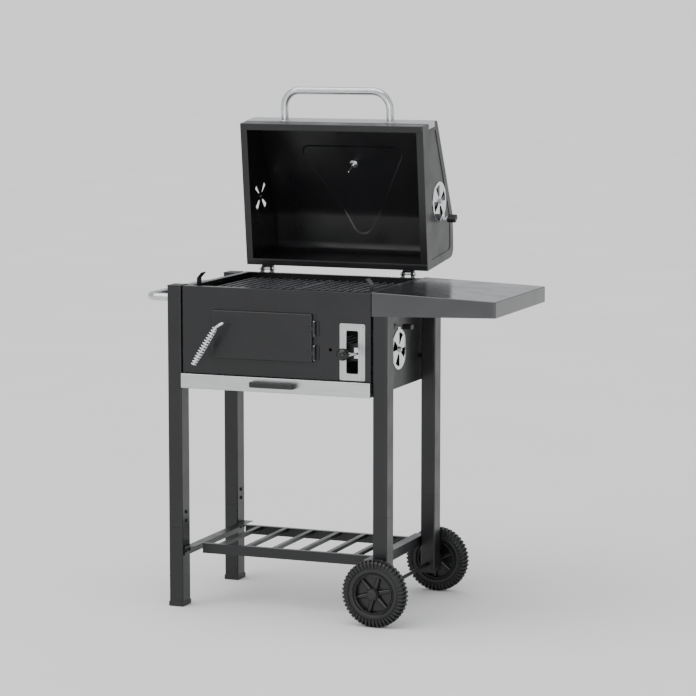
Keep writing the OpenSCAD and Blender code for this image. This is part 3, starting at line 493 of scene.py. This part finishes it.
def wheel(node):
    """A moulded wheel: tread ring with two rows of lugs, dished rim, six rounded spokes and a hub."""
    low, high = cart_box(node)
    centre = (low + high) / 2
    radius = (high.z - low.z) / 2
    hub_half = (high.y - low.y) / 2
    axis = (0, 1, 0)
    half = hub_half - 2
    base = radius - 5

    tread = bmesh.new()
    turned(tread, [
        (56, -half + 5), (57, -half + 2), (59, -half + 0.6), (65, -half + 0.4), (66.4, -half + 1.4),
        (67.4, -half + 3), (77, -half + 4), (82, -half + 7), (base, -9.5), (base, -1.4), (radius - 0.6, -0.8),
        (radius - 0.6, 0.8), (base, 1.4), (base, 9.5), (82, half - 7), (77, half - 4), (67.4, half - 3),
        (66.4, half - 1.4), (65, half - 0.4), (59, half - 0.6), (57, half - 2), (56, half - 5),
    ], centre, axis, 96, loop=True)
    for side in (1, -1):
        lug = bmesh.new()
        outline = [(base - 1, 2.0), (radius, 2.4), (radius, 9), (radius - 2.6, 14.2), (81, half - 0.4),
                   (71, half + 0.3), (69.5, half - 1.2), (69.5, half - 5), (78, half - 8)]
        path = [Vector((LUG_LEAN * w - LUG_WIDTH / 2, side * w, r)) + centre for r, w in outline]
        prism(lug, path, (LUG_WIDTH, 0, 0))
        bmesh.ops.recalc_face_normals(lug, faces=lug.faces)
        bevel(lug, sharp_edges(lug), 0.7, 1)
        offset = math.pi / LUGS if side < 0 else 0
        bmesh.ops.rotate(lug, cent=centre, matrix=Matrix.Rotation(offset, 3, "Y"), verts=lug.verts)
        repeated(lug, lug.verts[:] + lug.edges[:] + lug.faces[:], centre, axis, LUGS)
        joined(tread, lug)
    bmesh.ops.recalc_face_normals(tread, faces=tread.faces)
    bmesh.ops.transform(tread, matrix=TO_FRAME, verts=tread.verts)
    show(node + "_tread", tread, node, TYRE_PLASTIC, smooth=40)

    rim = bmesh.new()
    rim_half = half - 3
    for sign in (1, -1):
        turned(rim, [
            (48, sign * 1), (48.2, sign * (rim_half - 1.5)), (49.0, sign * (rim_half + 0.9)),
            (50.2, sign * (rim_half + 1.4)), (51.4, sign * (rim_half + 0.4)), (52.2, sign * (rim_half - 1.2)),
            (54.2, sign * (rim_half - 1.2)), (55.0, sign * (rim_half + 0.6)), (56.2, sign * (rim_half + 1.4)),
            (57.2, sign * (rim_half + 0.4)), (57.6, sign * 1),
        ], centre, axis, 72, loop=True)
        turned(rim, [
            (5.2, 0), (5.2, sign * (hub_half - 2.5)), (12.2, sign * (hub_half - 2.5)),
            (12.8, sign * hub_half), (15.4, sign * hub_half), (16.6, sign * (hub_half - 1.2)),
            (17.4, sign * 2), (17.4, 0),
        ], centre, axis, 48, loop=True)
    turned(rim, [(15, -2), (50, -2), (50, 2), (15, 2)], centre, axis, 72, loop=True)
    for sign in (1, -1):
        spoke = bmesh.new()
        section = [(-7.2, 1.5), (-6.6, 8.5), (-4.6, 11.6), (0, 12.8), (4.6, 11.6), (6.6, 8.5), (7.2, 1.5)]
        prism(spoke, [centre + Vector((x, sign * y, SPOKE_FOOT)) for x, y in section], (0, 0, SPOKE_LENGTH))
        outer = [v for v in spoke.verts if v.co.z > centre.z + SPOKE_FOOT + SPOKE_LENGTH / 2]
        bmesh.ops.scale(spoke, vec=SPOKE_TAPER, space=Matrix.Translation(-centre), verts=outer)
        bmesh.ops.recalc_face_normals(spoke, faces=spoke.faces)
        turn = Matrix.Rotation(math.radians(SPOKE_TURN[node]), 3, "Y")
        bmesh.ops.rotate(spoke, cent=centre, matrix=turn, verts=spoke.verts)
        repeated(spoke, spoke.verts[:] + spoke.edges[:] + spoke.faces[:], centre, axis, SPOKES)
        joined(rim, spoke)
    bmesh.ops.recalc_face_normals(rim, faces=rim.faces)
    bmesh.ops.transform(rim, matrix=TO_FRAME, verts=rim.verts)
    show(node + "_rim", rim, node, RIM_PLASTIC, smooth=45)


# ---------- hood ----------

HOOD_CROWN = (0, 214)      # the hood's outline as depth from its rear wall and height above its rim
HOOD_BREAK = (115, 219)
HOOD_BROW = 117
HOOD_RADII = [0, 2, 28, 70, 12, 2, 0]
HOOD_SHEET = 1.5
RIM_FLANGE = 18
TRIANGLE = ((-163, 315), (0, 23), (163, 315))
TRIANGLE_RADII = (22, 30, 22)
PRESS_DEPTH = 1.5
PRESS_EDGE = 5.0           # how wide the pressed field's slope is
PRESS_BAND = 8.0           # how far from its outline the sheet is divided finer
HOOD_GRID = 6.0
FLANGE_HOLES = (-203, 198)
FLANGE_HOLE_RADIUS = 2.6
HOLE_FACES = 12            # the most faces that a hole takes out of the sheet


def closed_box(node):
    """Lowest and highest corner of a node with the hood closed, in cart millimetres."""
    points = [CLOSED @ TO_CART @ v.co for v in frame["nodes"][node].data.vertices]
    return (Vector([min(p[i] for p in points) for i in range(3)]),
            Vector([max(p[i] for p in points) for i in range(3)]))


side_low, side_high = closed_box("hood_side_right")
HOOD_REAR = side_high.y
HOOD_DEPTH = side_high.y - side_low.y
HOOD_RIM = side_low.z
HOOD_HALF = side_high.x - HOOD_SHEET


def outside_distance(x, depth, outline):
    """How far a point of the plan lies outside a closed outline; negative inside it."""
    nearest = 1e9
    inside = False
    for (ax, ay), (bx, by) in zip(outline, outline[1:] + outline[:1]):
        ex, ey = bx - ax, by - ay
        t = max(0.0, min(1.0, ((x - ax) * ex + (depth - ay) * ey) / (ex * ex + ey * ey)))
        nearest = min(nearest, math.hypot(x - ax - t * ex, depth - ay - t * ey))
        if (ay > depth) != (by > depth) and x < ax + (depth - ay) / ey * ex:
            inside = not inside
    return -nearest if inside else nearest


def hood_shell():
    """One bent sheet from rim flange to rim flange, with a soft pressed triangle on its top."""
    node = "hood_shell"
    corners = [(RIM_FLANGE, 0), (0, 0), HOOD_CROWN, HOOD_BREAK, (HOOD_DEPTH, HOOD_BROW), (HOOD_DEPTH, 0),
               (HOOD_DEPTH - RIM_FLANGE, 0)]
    path = rounded([(0, p, q) for p, q in corners], HOOD_RADII, 10, closed=False)
    fine = [path[0]]
    for point in path[1:]:
        steps = max(1, round((point - fine[-1]).length / HOOD_GRID))
        start = fine[-1]
        fine += [start.lerp(point, i / steps) for i in range(1, steps + 1)]
    bm = bmesh.new()
    verts = [bm.verts.new((-HOOD_HALF, p.y, p.z)) for p in fine]
    edges = [bm.edges.new(pair) for pair in zip(verts, verts[1:])]
    columns = round(2 * HOOD_HALF / HOOD_GRID)
    for _ in range(columns):
        out = bmesh.ops.extrude_edge_only(bm, edges=edges)
        edges = [g for g in out["geom"] if isinstance(g, bmesh.types.BMEdge)]
        moved = {v for e in edges for v in e.verts}
        bmesh.ops.translate(bm, vec=(2 * HOOD_HALF / columns, 0, 0), verts=list(moved))
    bm.normal_update()
    if sum(f.normal.z for f in bm.faces if f.calc_center_median().z > HOOD_CROWN[1] - 5) < 0:
        bmesh.ops.reverse_faces(bm, faces=bm.faces)
    bm.normal_update()
    outline = [(p.x, p.y) for p in rounded([(x, p, 0) for x, p in TRIANGLE], TRIANGLE_RADII, 10)]
    for _ in range(2):
        away = {v: abs(outside_distance(v.co.x, v.co.y, outline)) for v in bm.verts if v.co.z > HOOD_BROW}
        near = [f for f in bm.faces if all(away.get(v, PRESS_BAND) < PRESS_BAND for v in f.verts)]
        edges = {e for f in near for e in f.edges}
        bmesh.ops.subdivide_edges(bm, edges=list(edges), cuts=1, use_grid_fill=True)
    bm.normal_update()
    for vert in bm.verts:
        if vert.co.z > HOOD_BROW:
            inside = 0.5 - outside_distance(vert.co.x, vert.co.y, outline) / PRESS_EDGE
            t = max(0.0, min(1.0, inside))
            vert.co += vert.normal * PRESS_DEPTH * t * t * (3 - 2 * t)
    for x in FLANGE_HOLES:
        at = Vector((x, HOOD_DEPTH - RIM_FLANGE / 2, 0))
        centre = min(bm.verts, key=lambda v: (v.co - at).length)
        bmesh.ops.bevel(bm, geom=[centre], offset=FLANGE_HOLE_RADIUS, offset_type="OFFSET", segments=4,
                        profile=0.5, affect="VERTICES", material=-1)
        near = sorted(bm.faces, key=lambda f: (f.calc_center_median() - at).length)
        middle = near[0].calc_center_median()
        reach = FLANGE_HOLE_RADIUS * 1.2
        gone = [f for f in near[:HOLE_FACES] if all((v.co - middle).length < reach for v in f.verts)]
        bmesh.ops.delete(bm, geom=gone, context="FACES")
    for vert in bm.verts:
        vert.co = (vert.co.x, HOOD_REAR - vert.co.y, HOOD_RIM + vert.co.z)
    bmesh.ops.reverse_faces(bm, faces=bm.faces)
    bmesh.ops.transform(bm, matrix=TO_FRAME @ OPENED, verts=bm.verts)
    show("hood_shell_sheet", bm, node, wall_mm=HOOD_SHEET, smooth=50)


def hood_handle():
    """Bent stainless tube that enters the front wall through its two rosettes."""
    low, high = closed_box("hood_handle")
    r = (high.z - low.z) / 2
    z = (low.z + high.z) / 2
    x, y = high.x - r, low.y + r
    corners = [(-x, high.y, z), (-x, y, z), (x, y, z), (x, high.y, z)]
    path = rounded(corners, [0, 48, 48, 0], 16, closed=False)
    show("hood_handle_tube", rod(path, r, opened=True), "hood_handle", TUBE)

    node = "hood_handle_rosettes"
    foot_y = closed_box(node)[1].y
    bm = bmesh.new()
    for side in (-1, 1):
        turned(bm, [(r + 0.1, 0), (16, 0), (16, 1.2), (14.5, 2.4), (11.5, 3.0), (r + 0.1, 3.0)],
               (side * x, foot_y, z), (0, -1, 0), 48, loop=True)
    show("hood_rosettes", settle(bm, opened=True), node, TUBE)


def carry_handle():
    """Bent stainless tube between the two left legs."""
    low, high = cart_box("carry_handle")
    r = (high.z - low.z) / 2
    z = (low.z + high.z) / 2
    x, y = low.x + r, high.y - r
    corners = [(high.x, -y, z), (x, -y, z), (x, y, z), (high.x, y, z)]
    path = rounded(corners, [0, 30, 30, 0], 14, closed=False)
    show("carry_handle_tube", rod(path, r), "carry_handle", TUBE)


# ---------- thermometer ----------

DIAL_DEPTH = 262
DIAL_RADIUS = 36
DIAL_HEIGHT = 12
TICKS = 25
TICK_SWEEP = 270


def thermometer():
    """Spun case with its stem and nut, a printed dial under glass."""
    node = "thermometer"
    slope = math.atan2(HOOD_BREAK[1] - HOOD_BROW, HOOD_DEPTH - HOOD_BREAK[0])
    height = HOOD_BROW + (HOOD_DEPTH - DIAL_DEPTH) * math.tan(slope)
    base = Vector((0, HOOD_REAR - DIAL_DEPTH, HOOD_RIM + height))
    out = Vector((0, -math.sin(slope), math.cos(slope)))
    foot = base + out * PRESS_DEPTH
    bm = bmesh.new()
    top = DIAL_HEIGHT
    turned(bm, [(0, 0), (DIAL_RADIUS - 1, 0), (DIAL_RADIUS, 1), (DIAL_RADIUS, top - 3),
                (DIAL_RADIUS - 1, top - 1), (DIAL_RADIUS - 2.5, top), (DIAL_RADIUS - 3.6, top - 0.6),
                (DIAL_RADIUS - 4, top - 3.2), (0, top - 3.2)], foot, out, 72)
    turned(bm, [(0, 1), (3, 1), (3, -44), (2.2, -48), (0, -49.5)], foot, out, 24)
    turned(bm, [(3.1, -1.6), (12, -1.6), (12, -2.6), (10.5, -3.0), (3.1, -3.0)], foot, out, 36, loop=True)
    turned(bm, [(3.1, -3.0), (8.6, -3.0), (9.0, -3.8), (9.0, -7.2), (8.2, -8.0), (3.1, -8.0)], foot, out, 6,
           loop=True)
    show("thermometer_case", settle(bm, opened=True), node, CHROME)

    dial = bmesh.new()
    turned(dial, [(2.3, top - 3.1), (DIAL_RADIUS - 4.2, top - 3.1), (DIAL_RADIUS - 4.2, top - 3.0),
                  (2.3, top - 3.0)], foot, out, 72, loop=True)
    show("thermometer_dial", settle(dial, opened=True), node, DIAL_PAPER)

    ticks = bmesh.new()
    across = Vector((1, 0, 0))
    for i in range(TICKS):
        turn = Matrix.Rotation(math.radians(TICK_SWEEP * (i / (TICKS - 1) - 0.5)), 3, out)
        ray = turn @ out.cross(across)
        width = turn @ across * (0.9 if i % 4 == 0 else 0.45)
        inner = DIAL_RADIUS - (12 if i % 4 == 0 else 8.5)
        a = foot + out * (top - 2.95) + ray * inner
        b = foot + out * (top - 2.95) + ray * (DIAL_RADIUS - 5.5)
        prism(ticks, [a - width, a + width, b + width, b - width], out * 0.08)
    show("thermometer_ticks", settle(ticks, opened=True), node, DIAL_INK)

    glass = bmesh.new()
    turned(glass, [(0, top - 1.6), (DIAL_RADIUS - 3.8, top - 1.6), (DIAL_RADIUS - 3.8, top - 0.9),
                   (12, top - 0.4), (0, top - 0.3)], foot, out, 72)
    show("thermometer_glass", settle(glass, opened=True), node, GLASS)


# ---------- folded sheet boxes ----------

def folded(bm, low, high, radius, open_faces):
    """A box with rounded folds whose faces looking along the open directions are left out."""
    bmesh.ops.create_cube(bm, size=1)
    size = high - low
    bmesh.ops.scale(bm, vec=size, verts=bm.verts)
    bmesh.ops.translate(bm, vec=(low + high) / 2, verts=bm.verts)
    gone = [f for f in bm.faces if any(f.normal.dot(Vector(d)) > 0.9 for d in open_faces)]
    bmesh.ops.delete(bm, geom=gone, context="FACES")
    bevel(bm, [e for e in bm.edges if not e.is_boundary], radius, 5)
    bm.normal_update()


TABLE_DROP = 12            # how far the table's outer end hangs lower
TABLE_SKIRT = 42           # the height of its outer end
TABLE_LIP = 1.3            # its upright lip against the legs: thickness, height and gap at each end
TABLE_LIP_HEIGHT = 11.6
TABLE_LIP_GAP = 3


def side_table():
    """A tray that falls outwards, with a lip along the firebox."""
    node = "side_table"
    low, high = cart_box(node)
    bm = bmesh.new()
    folded(bm, low, high, 3.0, [(0, 0, -1), (-1, 0, 0)])
    span_x = high.x - low.x
    for vert in bm.verts:
        t = (vert.co.x - low.x) / span_x
        top = high.z - TABLE_DROP * t
        bottom = low.z + (high.z - TABLE_DROP - TABLE_SKIRT - low.z) * t
        if vert.co.z > (low.z + high.z) / 2:
            vert.co.z += top - high.z
        else:
            vert.co.z = bottom
    bmesh.ops.transform(bm, matrix=TO_FRAME, verts=bm.verts)
    show("side_table_sheet", bm, node, material=COAT_TOP, wall_mm=LEG_WALL, smooth=40)

    lip = bmesh.new()
    x0, y, z1 = low.x - 0.4, low.y + TABLE_LIP_GAP, high.z + 0.6
    x1, z0 = x0 + TABLE_LIP, z1 - TABLE_LIP_HEIGHT
    prism(lip, [(x0, y, z0), (x1, y, z0), (x1, y, z1), (x0, y, z1)],
          (0, high.y - low.y - 2 * TABLE_LIP_GAP, 0))
    bevel(lip, sharp_edges(lip), 0.3, 2)
    show("side_table_lip", settle(lip), node)


def drawer_front():
    """Brushed strip with folded edges."""
    node = "drawer_front"
    low, high = cart_box(node)
    bm = bmesh.new()
    folded(bm, low, high, 2.2, [(0, 1, 0)])
    bmesh.ops.transform(bm, matrix=TO_FRAME, verts=bm.verts)
    show("drawer_front_sheet", bm, node, TRIM_X, wall_mm=1.2, smooth=40)


def drawer_handle():
    """Moulded bow pull with rounded ends."""
    node = "drawer_handle"
    low, high = cart_box(node)
    x, y0, y1 = high.x, low.y, high.y
    grip, inner = 10, x - 15
    corners = [(-x, y1), (-x, y0), (x, y0), (x, y1), (inner, y1), (inner, y0 + grip), (-inner, y0 + grip),
               (-inner, y1)]
    path = rounded([(a, b, low.z) for a, b in corners], [0, 9, 9, 0, 0, 5, 5, 0], 6)
    bm = bmesh.new()
    prism(bm, path, (0, 0, high.z - low.z))
    bmesh.ops.recalc_face_normals(bm, faces=bm.faces)
    bevel(bm, sharp_edges(bm, 50), 2.2, 3)
    show("drawer_pull", settle(bm), node)


def bezel_plate():
    """Pressed slot plate: rounded corners and a raised lip round the slot."""
    node = "bezel_plate"
    low, high = cart_box(node)
    rim_x, rim_z = 18.7, 18.2      # from the plate's edges to its slot
    lip = 3.2
    y = high.y

    def outline(inset_x, inset_z, radius, depth):
        corners = [(low.x + inset_x, depth, low.z + inset_z), (high.x - inset_x, depth, low.z + inset_z),
                   (high.x - inset_x, depth, high.z - inset_z), (low.x + inset_x, depth, high.z - inset_z)]
        return rounded(corners, [radius] * 4, 6)

    bm = bmesh.new()
    ring_prism(bm, outline(0, 0, 4.5, y), outline(rim_x, rim_z, 4, y), (0, low.y - y, 0))
    ring_prism(bm, outline(rim_x - lip, rim_z - lip, 6, low.y), outline(rim_x, rim_z, 4, low.y), (0, -0.9, 0))
    bmesh.ops.recalc_face_normals(bm, faces=bm.faces)
    bevel(bm, sharp_edges(bm, 50), 0.4, 2)
    show("bezel_sheet", settle(bm), node, TRIM_Z)


def bezel_screws():
    """Cross-recess pan heads at the plate's corners."""
    node = "bezel_screws"
    low, high = cart_box(node)
    r = 3.2
    bm = bmesh.new()
    for x in (low.x + r, high.x - r):
        for z in (low.z + r, high.z - r):
            turned(bm, [(0, 0), (r, 0), (r, 0.5), (2.6, 1.3), (1.6, 1.7), (0.9, 1.75), (0.7, 0.9), (0, 0.7)],
                   (x, high.y, z), (0, -1, 0), 20)
    show("bezel_screw_heads", settle(bm), node, ZINC)


# ---------- fire door ----------

DOOR_SHEET = 1.5
KNUCKLE = 4.5              # radius of a hinge's rolled sheet, and of the pin hole in it
PIN_HOLE = 2.05
LEAF_HEIGHT = 36
STRAP_FOOT = 12.3          # a strap's place on its leaf, and its height
STRAP_HEIGHT = 11.4


def fire_door():
    """Folded door with two strap hinges, each held by two rivets."""
    node = "fire_door"
    low, high = cart_box(node)
    edge_x = high.x - KNUCKLE - 5
    front = low.y + DOOR_SHEET
    bm = bmesh.new()
    folded(bm, Vector((low.x, front, low.z)), Vector((edge_x, high.y, high.z)), 3.4, [(0, 1, 0)])
    bmesh.ops.transform(bm, matrix=TO_FRAME, verts=bm.verts)
    show("fire_door_sheet", bm, node, wall_mm=DOOR_SHEET, smooth=40)

    straps = bmesh.new()
    hinge_low, hinge_high = cart_box("door_hinge_leaves")
    pin_x, pin_y = edge_x + 5, hinge_low.y + KNUCKLE
    for leaf_z in (hinge_low.z, hinge_high.z - LEAF_HEIGHT):
        z = leaf_z + STRAP_FOOT
        top = z + STRAP_HEIGHT
        turned(straps, [(PIN_HOLE, z), (KNUCKLE, z), (KNUCKLE, top), (PIN_HOLE, top)],
               (pin_x, pin_y, 0), (0, 0, 1), 32, loop=True)
        strap = [(pin_x - 0.5, front - 1.5), (pin_x - 0.5, front - 0.2), (edge_x - 14, front - 0.2),
                 (edge_x - 15, front - 0.6), (edge_x - 14, front - 1.5)]
        prism(straps, [(x, y, z) for x, y in strap], (0, 0, STRAP_HEIGHT))
        for rivet_z in (z + 3.2, z + 8.2):
            turned(straps, [(0, 0), (2.4, 0), (2.2, 0.8), (1.2, 1.3), (0, 1.4)],
                   (edge_x - 9, front - 1.5, rivet_z), (0, -1, 0), 16)
    show("fire_door_straps", settle(straps), node)


# ---------- spring grip ----------

GRIP_TURNS = 14
GRIP_STEPS = 22            # points in each turn
GRIP_WIRE = 2.1
GRIP_TILT = math.radians(32)
GRIP_AXIS = Vector((-math.sin(GRIP_TILT), -0.04, -math.cos(GRIP_TILT))).normalized()
GRIP_FIT = 6.2
GRIP_SWELL = 2.5
GRIP_LENGTH = 114


def spring_grip():
    """Close-wound wire round the latch rod, fatter in its middle."""
    node = "door_handle_coil"
    low, high = cart_box(node)
    centre = (low + high) / 2
    u = GRIP_AXIS.orthogonal().normalized()
    v = GRIP_AXIS.cross(u)
    count = GRIP_TURNS * GRIP_STEPS
    path = []
    for i in range(count + 1):
        t = i / count
        r = GRIP_FIT + GRIP_SWELL * math.sin(math.pi * t) ** 0.8
        angle = math.tau * GRIP_TURNS * t
        along = GRIP_AXIS * GRIP_LENGTH * (t - 0.5)
        path.append(centre + along + (u * math.cos(angle) + v * math.sin(angle)) * r)
    show("spring_grip_wire", rod(path, GRIP_WIRE, rings=4), node, CHROME, smooth=60)


ROD_RADIUS = 4.0
TONGUE = 34                # how far the tongue reaches behind the panel, and half of its height
TONGUE_HALF = 6


def latch_rod():
    """Bent rod: square tongue inside, round bend, straight core of the grip with a domed end."""
    node = "door_handle_rod"
    high = cart_box(node)[1]
    coil_low, coil_high = cart_box("door_handle_coil")
    middle = (coil_low + coil_high) / 2
    x, y, z = high.x - TONGUE_HALF, high.y - 3, high.z - TONGUE_HALF
    elbow = Vector((x, middle.y + 1, z))
    top = middle - GRIP_AXIS * (GRIP_LENGTH / 2 + 5)
    tip = middle + GRIP_AXIS * (GRIP_LENGTH / 2 - 2)
    path = rounded([(x, y, z), elbow, top, tip], [0, 9, 14, 0], 10, closed=False)
    show("latch_rod_bar", rod(path, ROD_RADIUS), node, CHROME)

    tongue = bmesh.new()
    x0, x1, z0, z1 = x - TONGUE, x + TONGUE_HALF, z - TONGUE_HALF, z + TONGUE_HALF
    corners = [(x0, y, z0), (x1, y, z0), (x1, y, z1), (x0, y, z1)]
    prism(tongue, rounded(corners, [3, 5, 5, 3], 5), (0, 3, 0))
    bevel(tongue, sharp_edges(tongue, 50), 0.5, 2)
    show("latch_tongue", settle(tongue), node, ZINC)


# ---------- height lever ----------

KNOB_STEPS = 16
KNOB_SWEEP = 148           # degrees of the ball's outline before its flat seat
LEVER_RUN = 52             # from the ball's middle back to the lever's bend


def lever_knob():
    """Turned phenolic ball with a flat seat for the lever."""
    node = "lever_knob"
    low, high = cart_box(node)
    centre = (low + high) / 2
    r = (high.z - low.z) / 2
    lever_low, lever_high = cart_box("lift_lever")
    bend = Vector((lever_high.x - 4, centre.y + LEVER_RUN, (lever_low.z + lever_high.z) / 2))
    back = (bend - centre).normalized()
    profile = [(0, -r)]
    for i in range(1, KNOB_STEPS):
        angle = math.radians(-90 + KNOB_SWEEP * i / KNOB_STEPS)
        profile.append((r * math.cos(angle), r * math.sin(angle)))
    seat = profile[-1]
    profile += [(seat[0] - 0.8, seat[1] + 0.4), (0, seat[1] + 0.4)]
    bm = bmesh.new()
    turned(bm, profile, centre, back, 48)
    show("lever_ball", settle(bm), node, KNOB_PLASTIC, smooth=60)


# ---------- dampers ----------

SLEEVE_START = 12.68   # from a disc's inner face to the sleeve on its tab


def damper(node):
    """Disc with its bent tab, and the moulded sleeve on the tab as a piece of its own."""
    low, high = cart_box(node)
    side = 1 if high.x > 0 else -1
    cut = (low.x if side > 0 else high.x) + side * SLEEVE_START
    bm = copied(node)
    tip = [v.co.copy() for v in bm.verts if side * ((TO_CART @ v.co).x - cut) > 0]
    bmesh.ops.bisect_plane(bm, geom=bm.verts[:] + bm.edges[:] + bm.faces[:], dist=0.001 * MM,
                           plane_co=TO_FRAME @ Vector((cut, 0, 0)), plane_no=(side, 0, 0), clear_outer=True)
    bmesh.ops.holes_fill(bm, edges=[e for e in bm.edges if e.is_boundary], sides=0)
    bevel(bm, sharp_edges(bm), 0.35 * MM, 2)
    show(node + "_disc", bm, node, CHROME)

    sleeve = bmesh.new()
    for at in tip:
        sleeve.verts.new(at)
    hull = bmesh.ops.convex_hull(sleeve, input=sleeve.verts[:])
    spare = {g for g in hull["geom_interior"] + hull["geom_unused"] if isinstance(g, bmesh.types.BMVert)}
    bmesh.ops.delete(sleeve, geom=list(spare), context="VERTS")
    bmesh.ops.dissolve_limit(sleeve, angle_limit=math.radians(2), verts=sleeve.verts, edges=sleeve.edges)
    bmesh.ops.recalc_face_normals(sleeve, faces=sleeve.faces)
    bevel(sleeve, sharp_edges(sleeve), 1.6 * MM, 3)
    show(node + "_sleeve", sleeve, node, BLACK_PLASTIC)


# ---------- everything else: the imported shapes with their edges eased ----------

panel_low, panel_high = cart_box("firebox_front")
FRONT_FACE = cart_box("leg_upper_front_left")[0].y
REAR_FACE = cart_box("leg_upper_rear_left")[1].y
EASED_MM = {
    "leg_caps": 1.4, "frame_bolts": 0.6, "axle": 0.8, "shelf_rail_front": 0.5, "shelf_rail_rear": 0.5,
    "shelf_rail_left": 0.5, "shelf_rail_right": 0.5, "shelf_slats": 1.2, "hub_caps": 1.2,
    "firebox_front": 0.6, "firebox_rear": 0.6, "firebox_left": 0.6, "firebox_right": 0.6,
    "drawer_runners": 0.4, "ash_drawer": 0.6, "door_hinge_leaves": 0.4, "door_hinge_pins": 0.3,
    "lift_lever": 0.6, "charcoal_pan": 0.5, "charcoal_grate": 1.0, "cooking_grate_left": 1.6,
    "cooking_grate_right": 1.6, "rack_hooks": 0.6, "firebox_damper_rivets": 0.5, "hood_side_left": 0.6,
    "hood_side_right": 0.6, "hood_strip": 0.4, "hood_damper_rivets": 0.5, "thermometer_needle": 0.1,
    "hood_hinge_leaves": 0.5, "hood_hinge_brackets": 0.6, "hood_hinge_pins": 0.4,
}
EASED_FINISH = {
    "frame_bolts": BLACK_ZINC, "axle": BLACK_ZINC, "firebox_damper_rivets": ZINC, "hood_damper_rivets": ZINC,
    "hood_hinge_pins": ZINC,
}
EASED_FOLDS = {
    "firebox_front": [(1, FRONT_FACE, 2, panel_high.z, 2.6)],
    "firebox_rear": [(1, REAR_FACE, 2, panel_high.z, 2.6)],
    "firebox_left": [(0, panel_low.x, 2, panel_high.z, 2.2)],
    "firebox_right": [(0, panel_high.x, 2, panel_high.z, 2.2)],
}

for node in [n for n in slots_of if n.startswith("leg_") and n != "leg_caps"]:
    leg(node)
for node in ("wheel_front", "wheel_rear"):
    wheel(node)
for node in [n for n in slots_of if "damper" in n and "rivets" not in n]:
    damper(node)
for node, width in EASED_MM.items():
    eased(node, width, EASED_FINISH.get(node), EASED_FOLDS.get(node, ()))
hood_shell()
hood_handle()
carry_handle()
thermometer()
side_table()
drawer_front()
drawer_handle()
bezel_plate()
bezel_screws()
fire_door()
spring_grip()
latch_rod()
lever_knob()


# ---------- floor, light and camera ----------

FLOOR_RADIUS = 1500        # metres, so that the floor meets the sky evenly
FLOOR_CLOUD_MM = 900
FAR = 4000                 # metres that the camera sees
CAMERA_PLACE = (2806.7, -6835.9, 1634.6)
CAMERA_TILT = 82.72
CAMERA_TURN = 21.44
CAMERA_LENS = 142.9


def floor():
    """A wide pale disc at the ground."""
    bm = bmesh.new()
    bmesh.ops.create_circle(bm, cap_ends=True, radius=FLOOR_RADIUS, segments=96)
    mesh = bpy.data.meshes.new("floor")
    bm.to_mesh(mesh)
    bm.free()
    material, tree, place, shader = new_material("pale_matt_floor")
    cloud = add(tree, "ShaderNodeTexNoise", {"Vector": (place, "Object")}, Scale=fineness(FLOOR_CLOUD_MM),
                Detail=2.0, Roughness=SOFT)
    tone = two_tones(add(tree, "ShaderNodeValToRGB", {"Fac": (cloud, "Fac")}), "e2e2e0", "e6e6e4")
    wire(tree, shader, Base_Color=(tone, "Color"))
    shader.inputs["Roughness"].default_value = 0.8
    mesh.materials.append(material)
    obj = bpy.data.objects.new("floor", mesh)
    bpy.context.scene.collection.objects.link(obj)


def placed_light(light, place_mm, aim_mm):
    """Puts a light at a place of the cart and turns it to another."""
    obj = bpy.data.objects.new(light.name, light)
    obj.location = TO_FRAME @ Vector(place_mm)
    aim = (TO_FRAME @ Vector(aim_mm)) - obj.location
    obj.rotation_euler = aim.to_track_quat("-Z", "Y").to_euler()
    bpy.context.scene.collection.objects.link(obj)


def softbox(name, place_mm, aim_mm, width, height, watts, tone):
    """A soft rectangular light; width and height in metres."""
    light = bpy.data.lights.new(name, "AREA")
    light.shape = "RECTANGLE"
    light.size = width
    light.size_y = height
    light.energy = watts
    light.color = colour(tone)[:3]
    placed_light(light, place_mm, aim_mm)


def overcast(place_mm, aim_mm, strength, spread_deg):
    """Broad light from above that falls evenly on the whole floor."""
    light = bpy.data.lights.new("overcast", "SUN")
    light.energy = strength
    light.angle = math.radians(spread_deg)
    placed_light(light, place_mm, aim_mm)


def sky():
    """Even pale light from all round."""
    world = bpy.data.worlds.new("studio")
    world.use_nodes = True
    world.node_tree.nodes["Background"].inputs["Color"].default_value = colour("eef0f2")
    world.node_tree.nodes["Background"].inputs["Strength"].default_value = 1.0
    bpy.context.scene.world = world


def camera():
    """The camera, far off to the right of the front."""
    data = bpy.data.cameras.new("camera")
    data.sensor_width = 36
    data.lens = CAMERA_LENS
    data.clip_end = FAR
    obj = bpy.data.objects.new("camera", data)
    obj.location = TO_FRAME @ Vector(CAMERA_PLACE)
    obj.rotation_euler = (math.radians(CAMERA_TILT), 0, math.radians(CAMERA_TURN))
    bpy.context.scene.collection.objects.link(obj)
    bpy.context.scene.camera = obj


floor()
overcast((-700, -900, 3600), (0, 0, 0), 2.0, 70)
softbox("key", (-2600, -3000, 2600), (0, 0, 700), 2.2, 2.2, 24, "fffaf2")
softbox("fill", (3400, -1200, 1800), (0, 0, 700), 2.4, 2.4, 6, "f4f8ff")
softbox("front", (900, -4200, 900), (0, 0, 1150), 2.4, 1.6, 32, "ffffff")
sky()
camera()
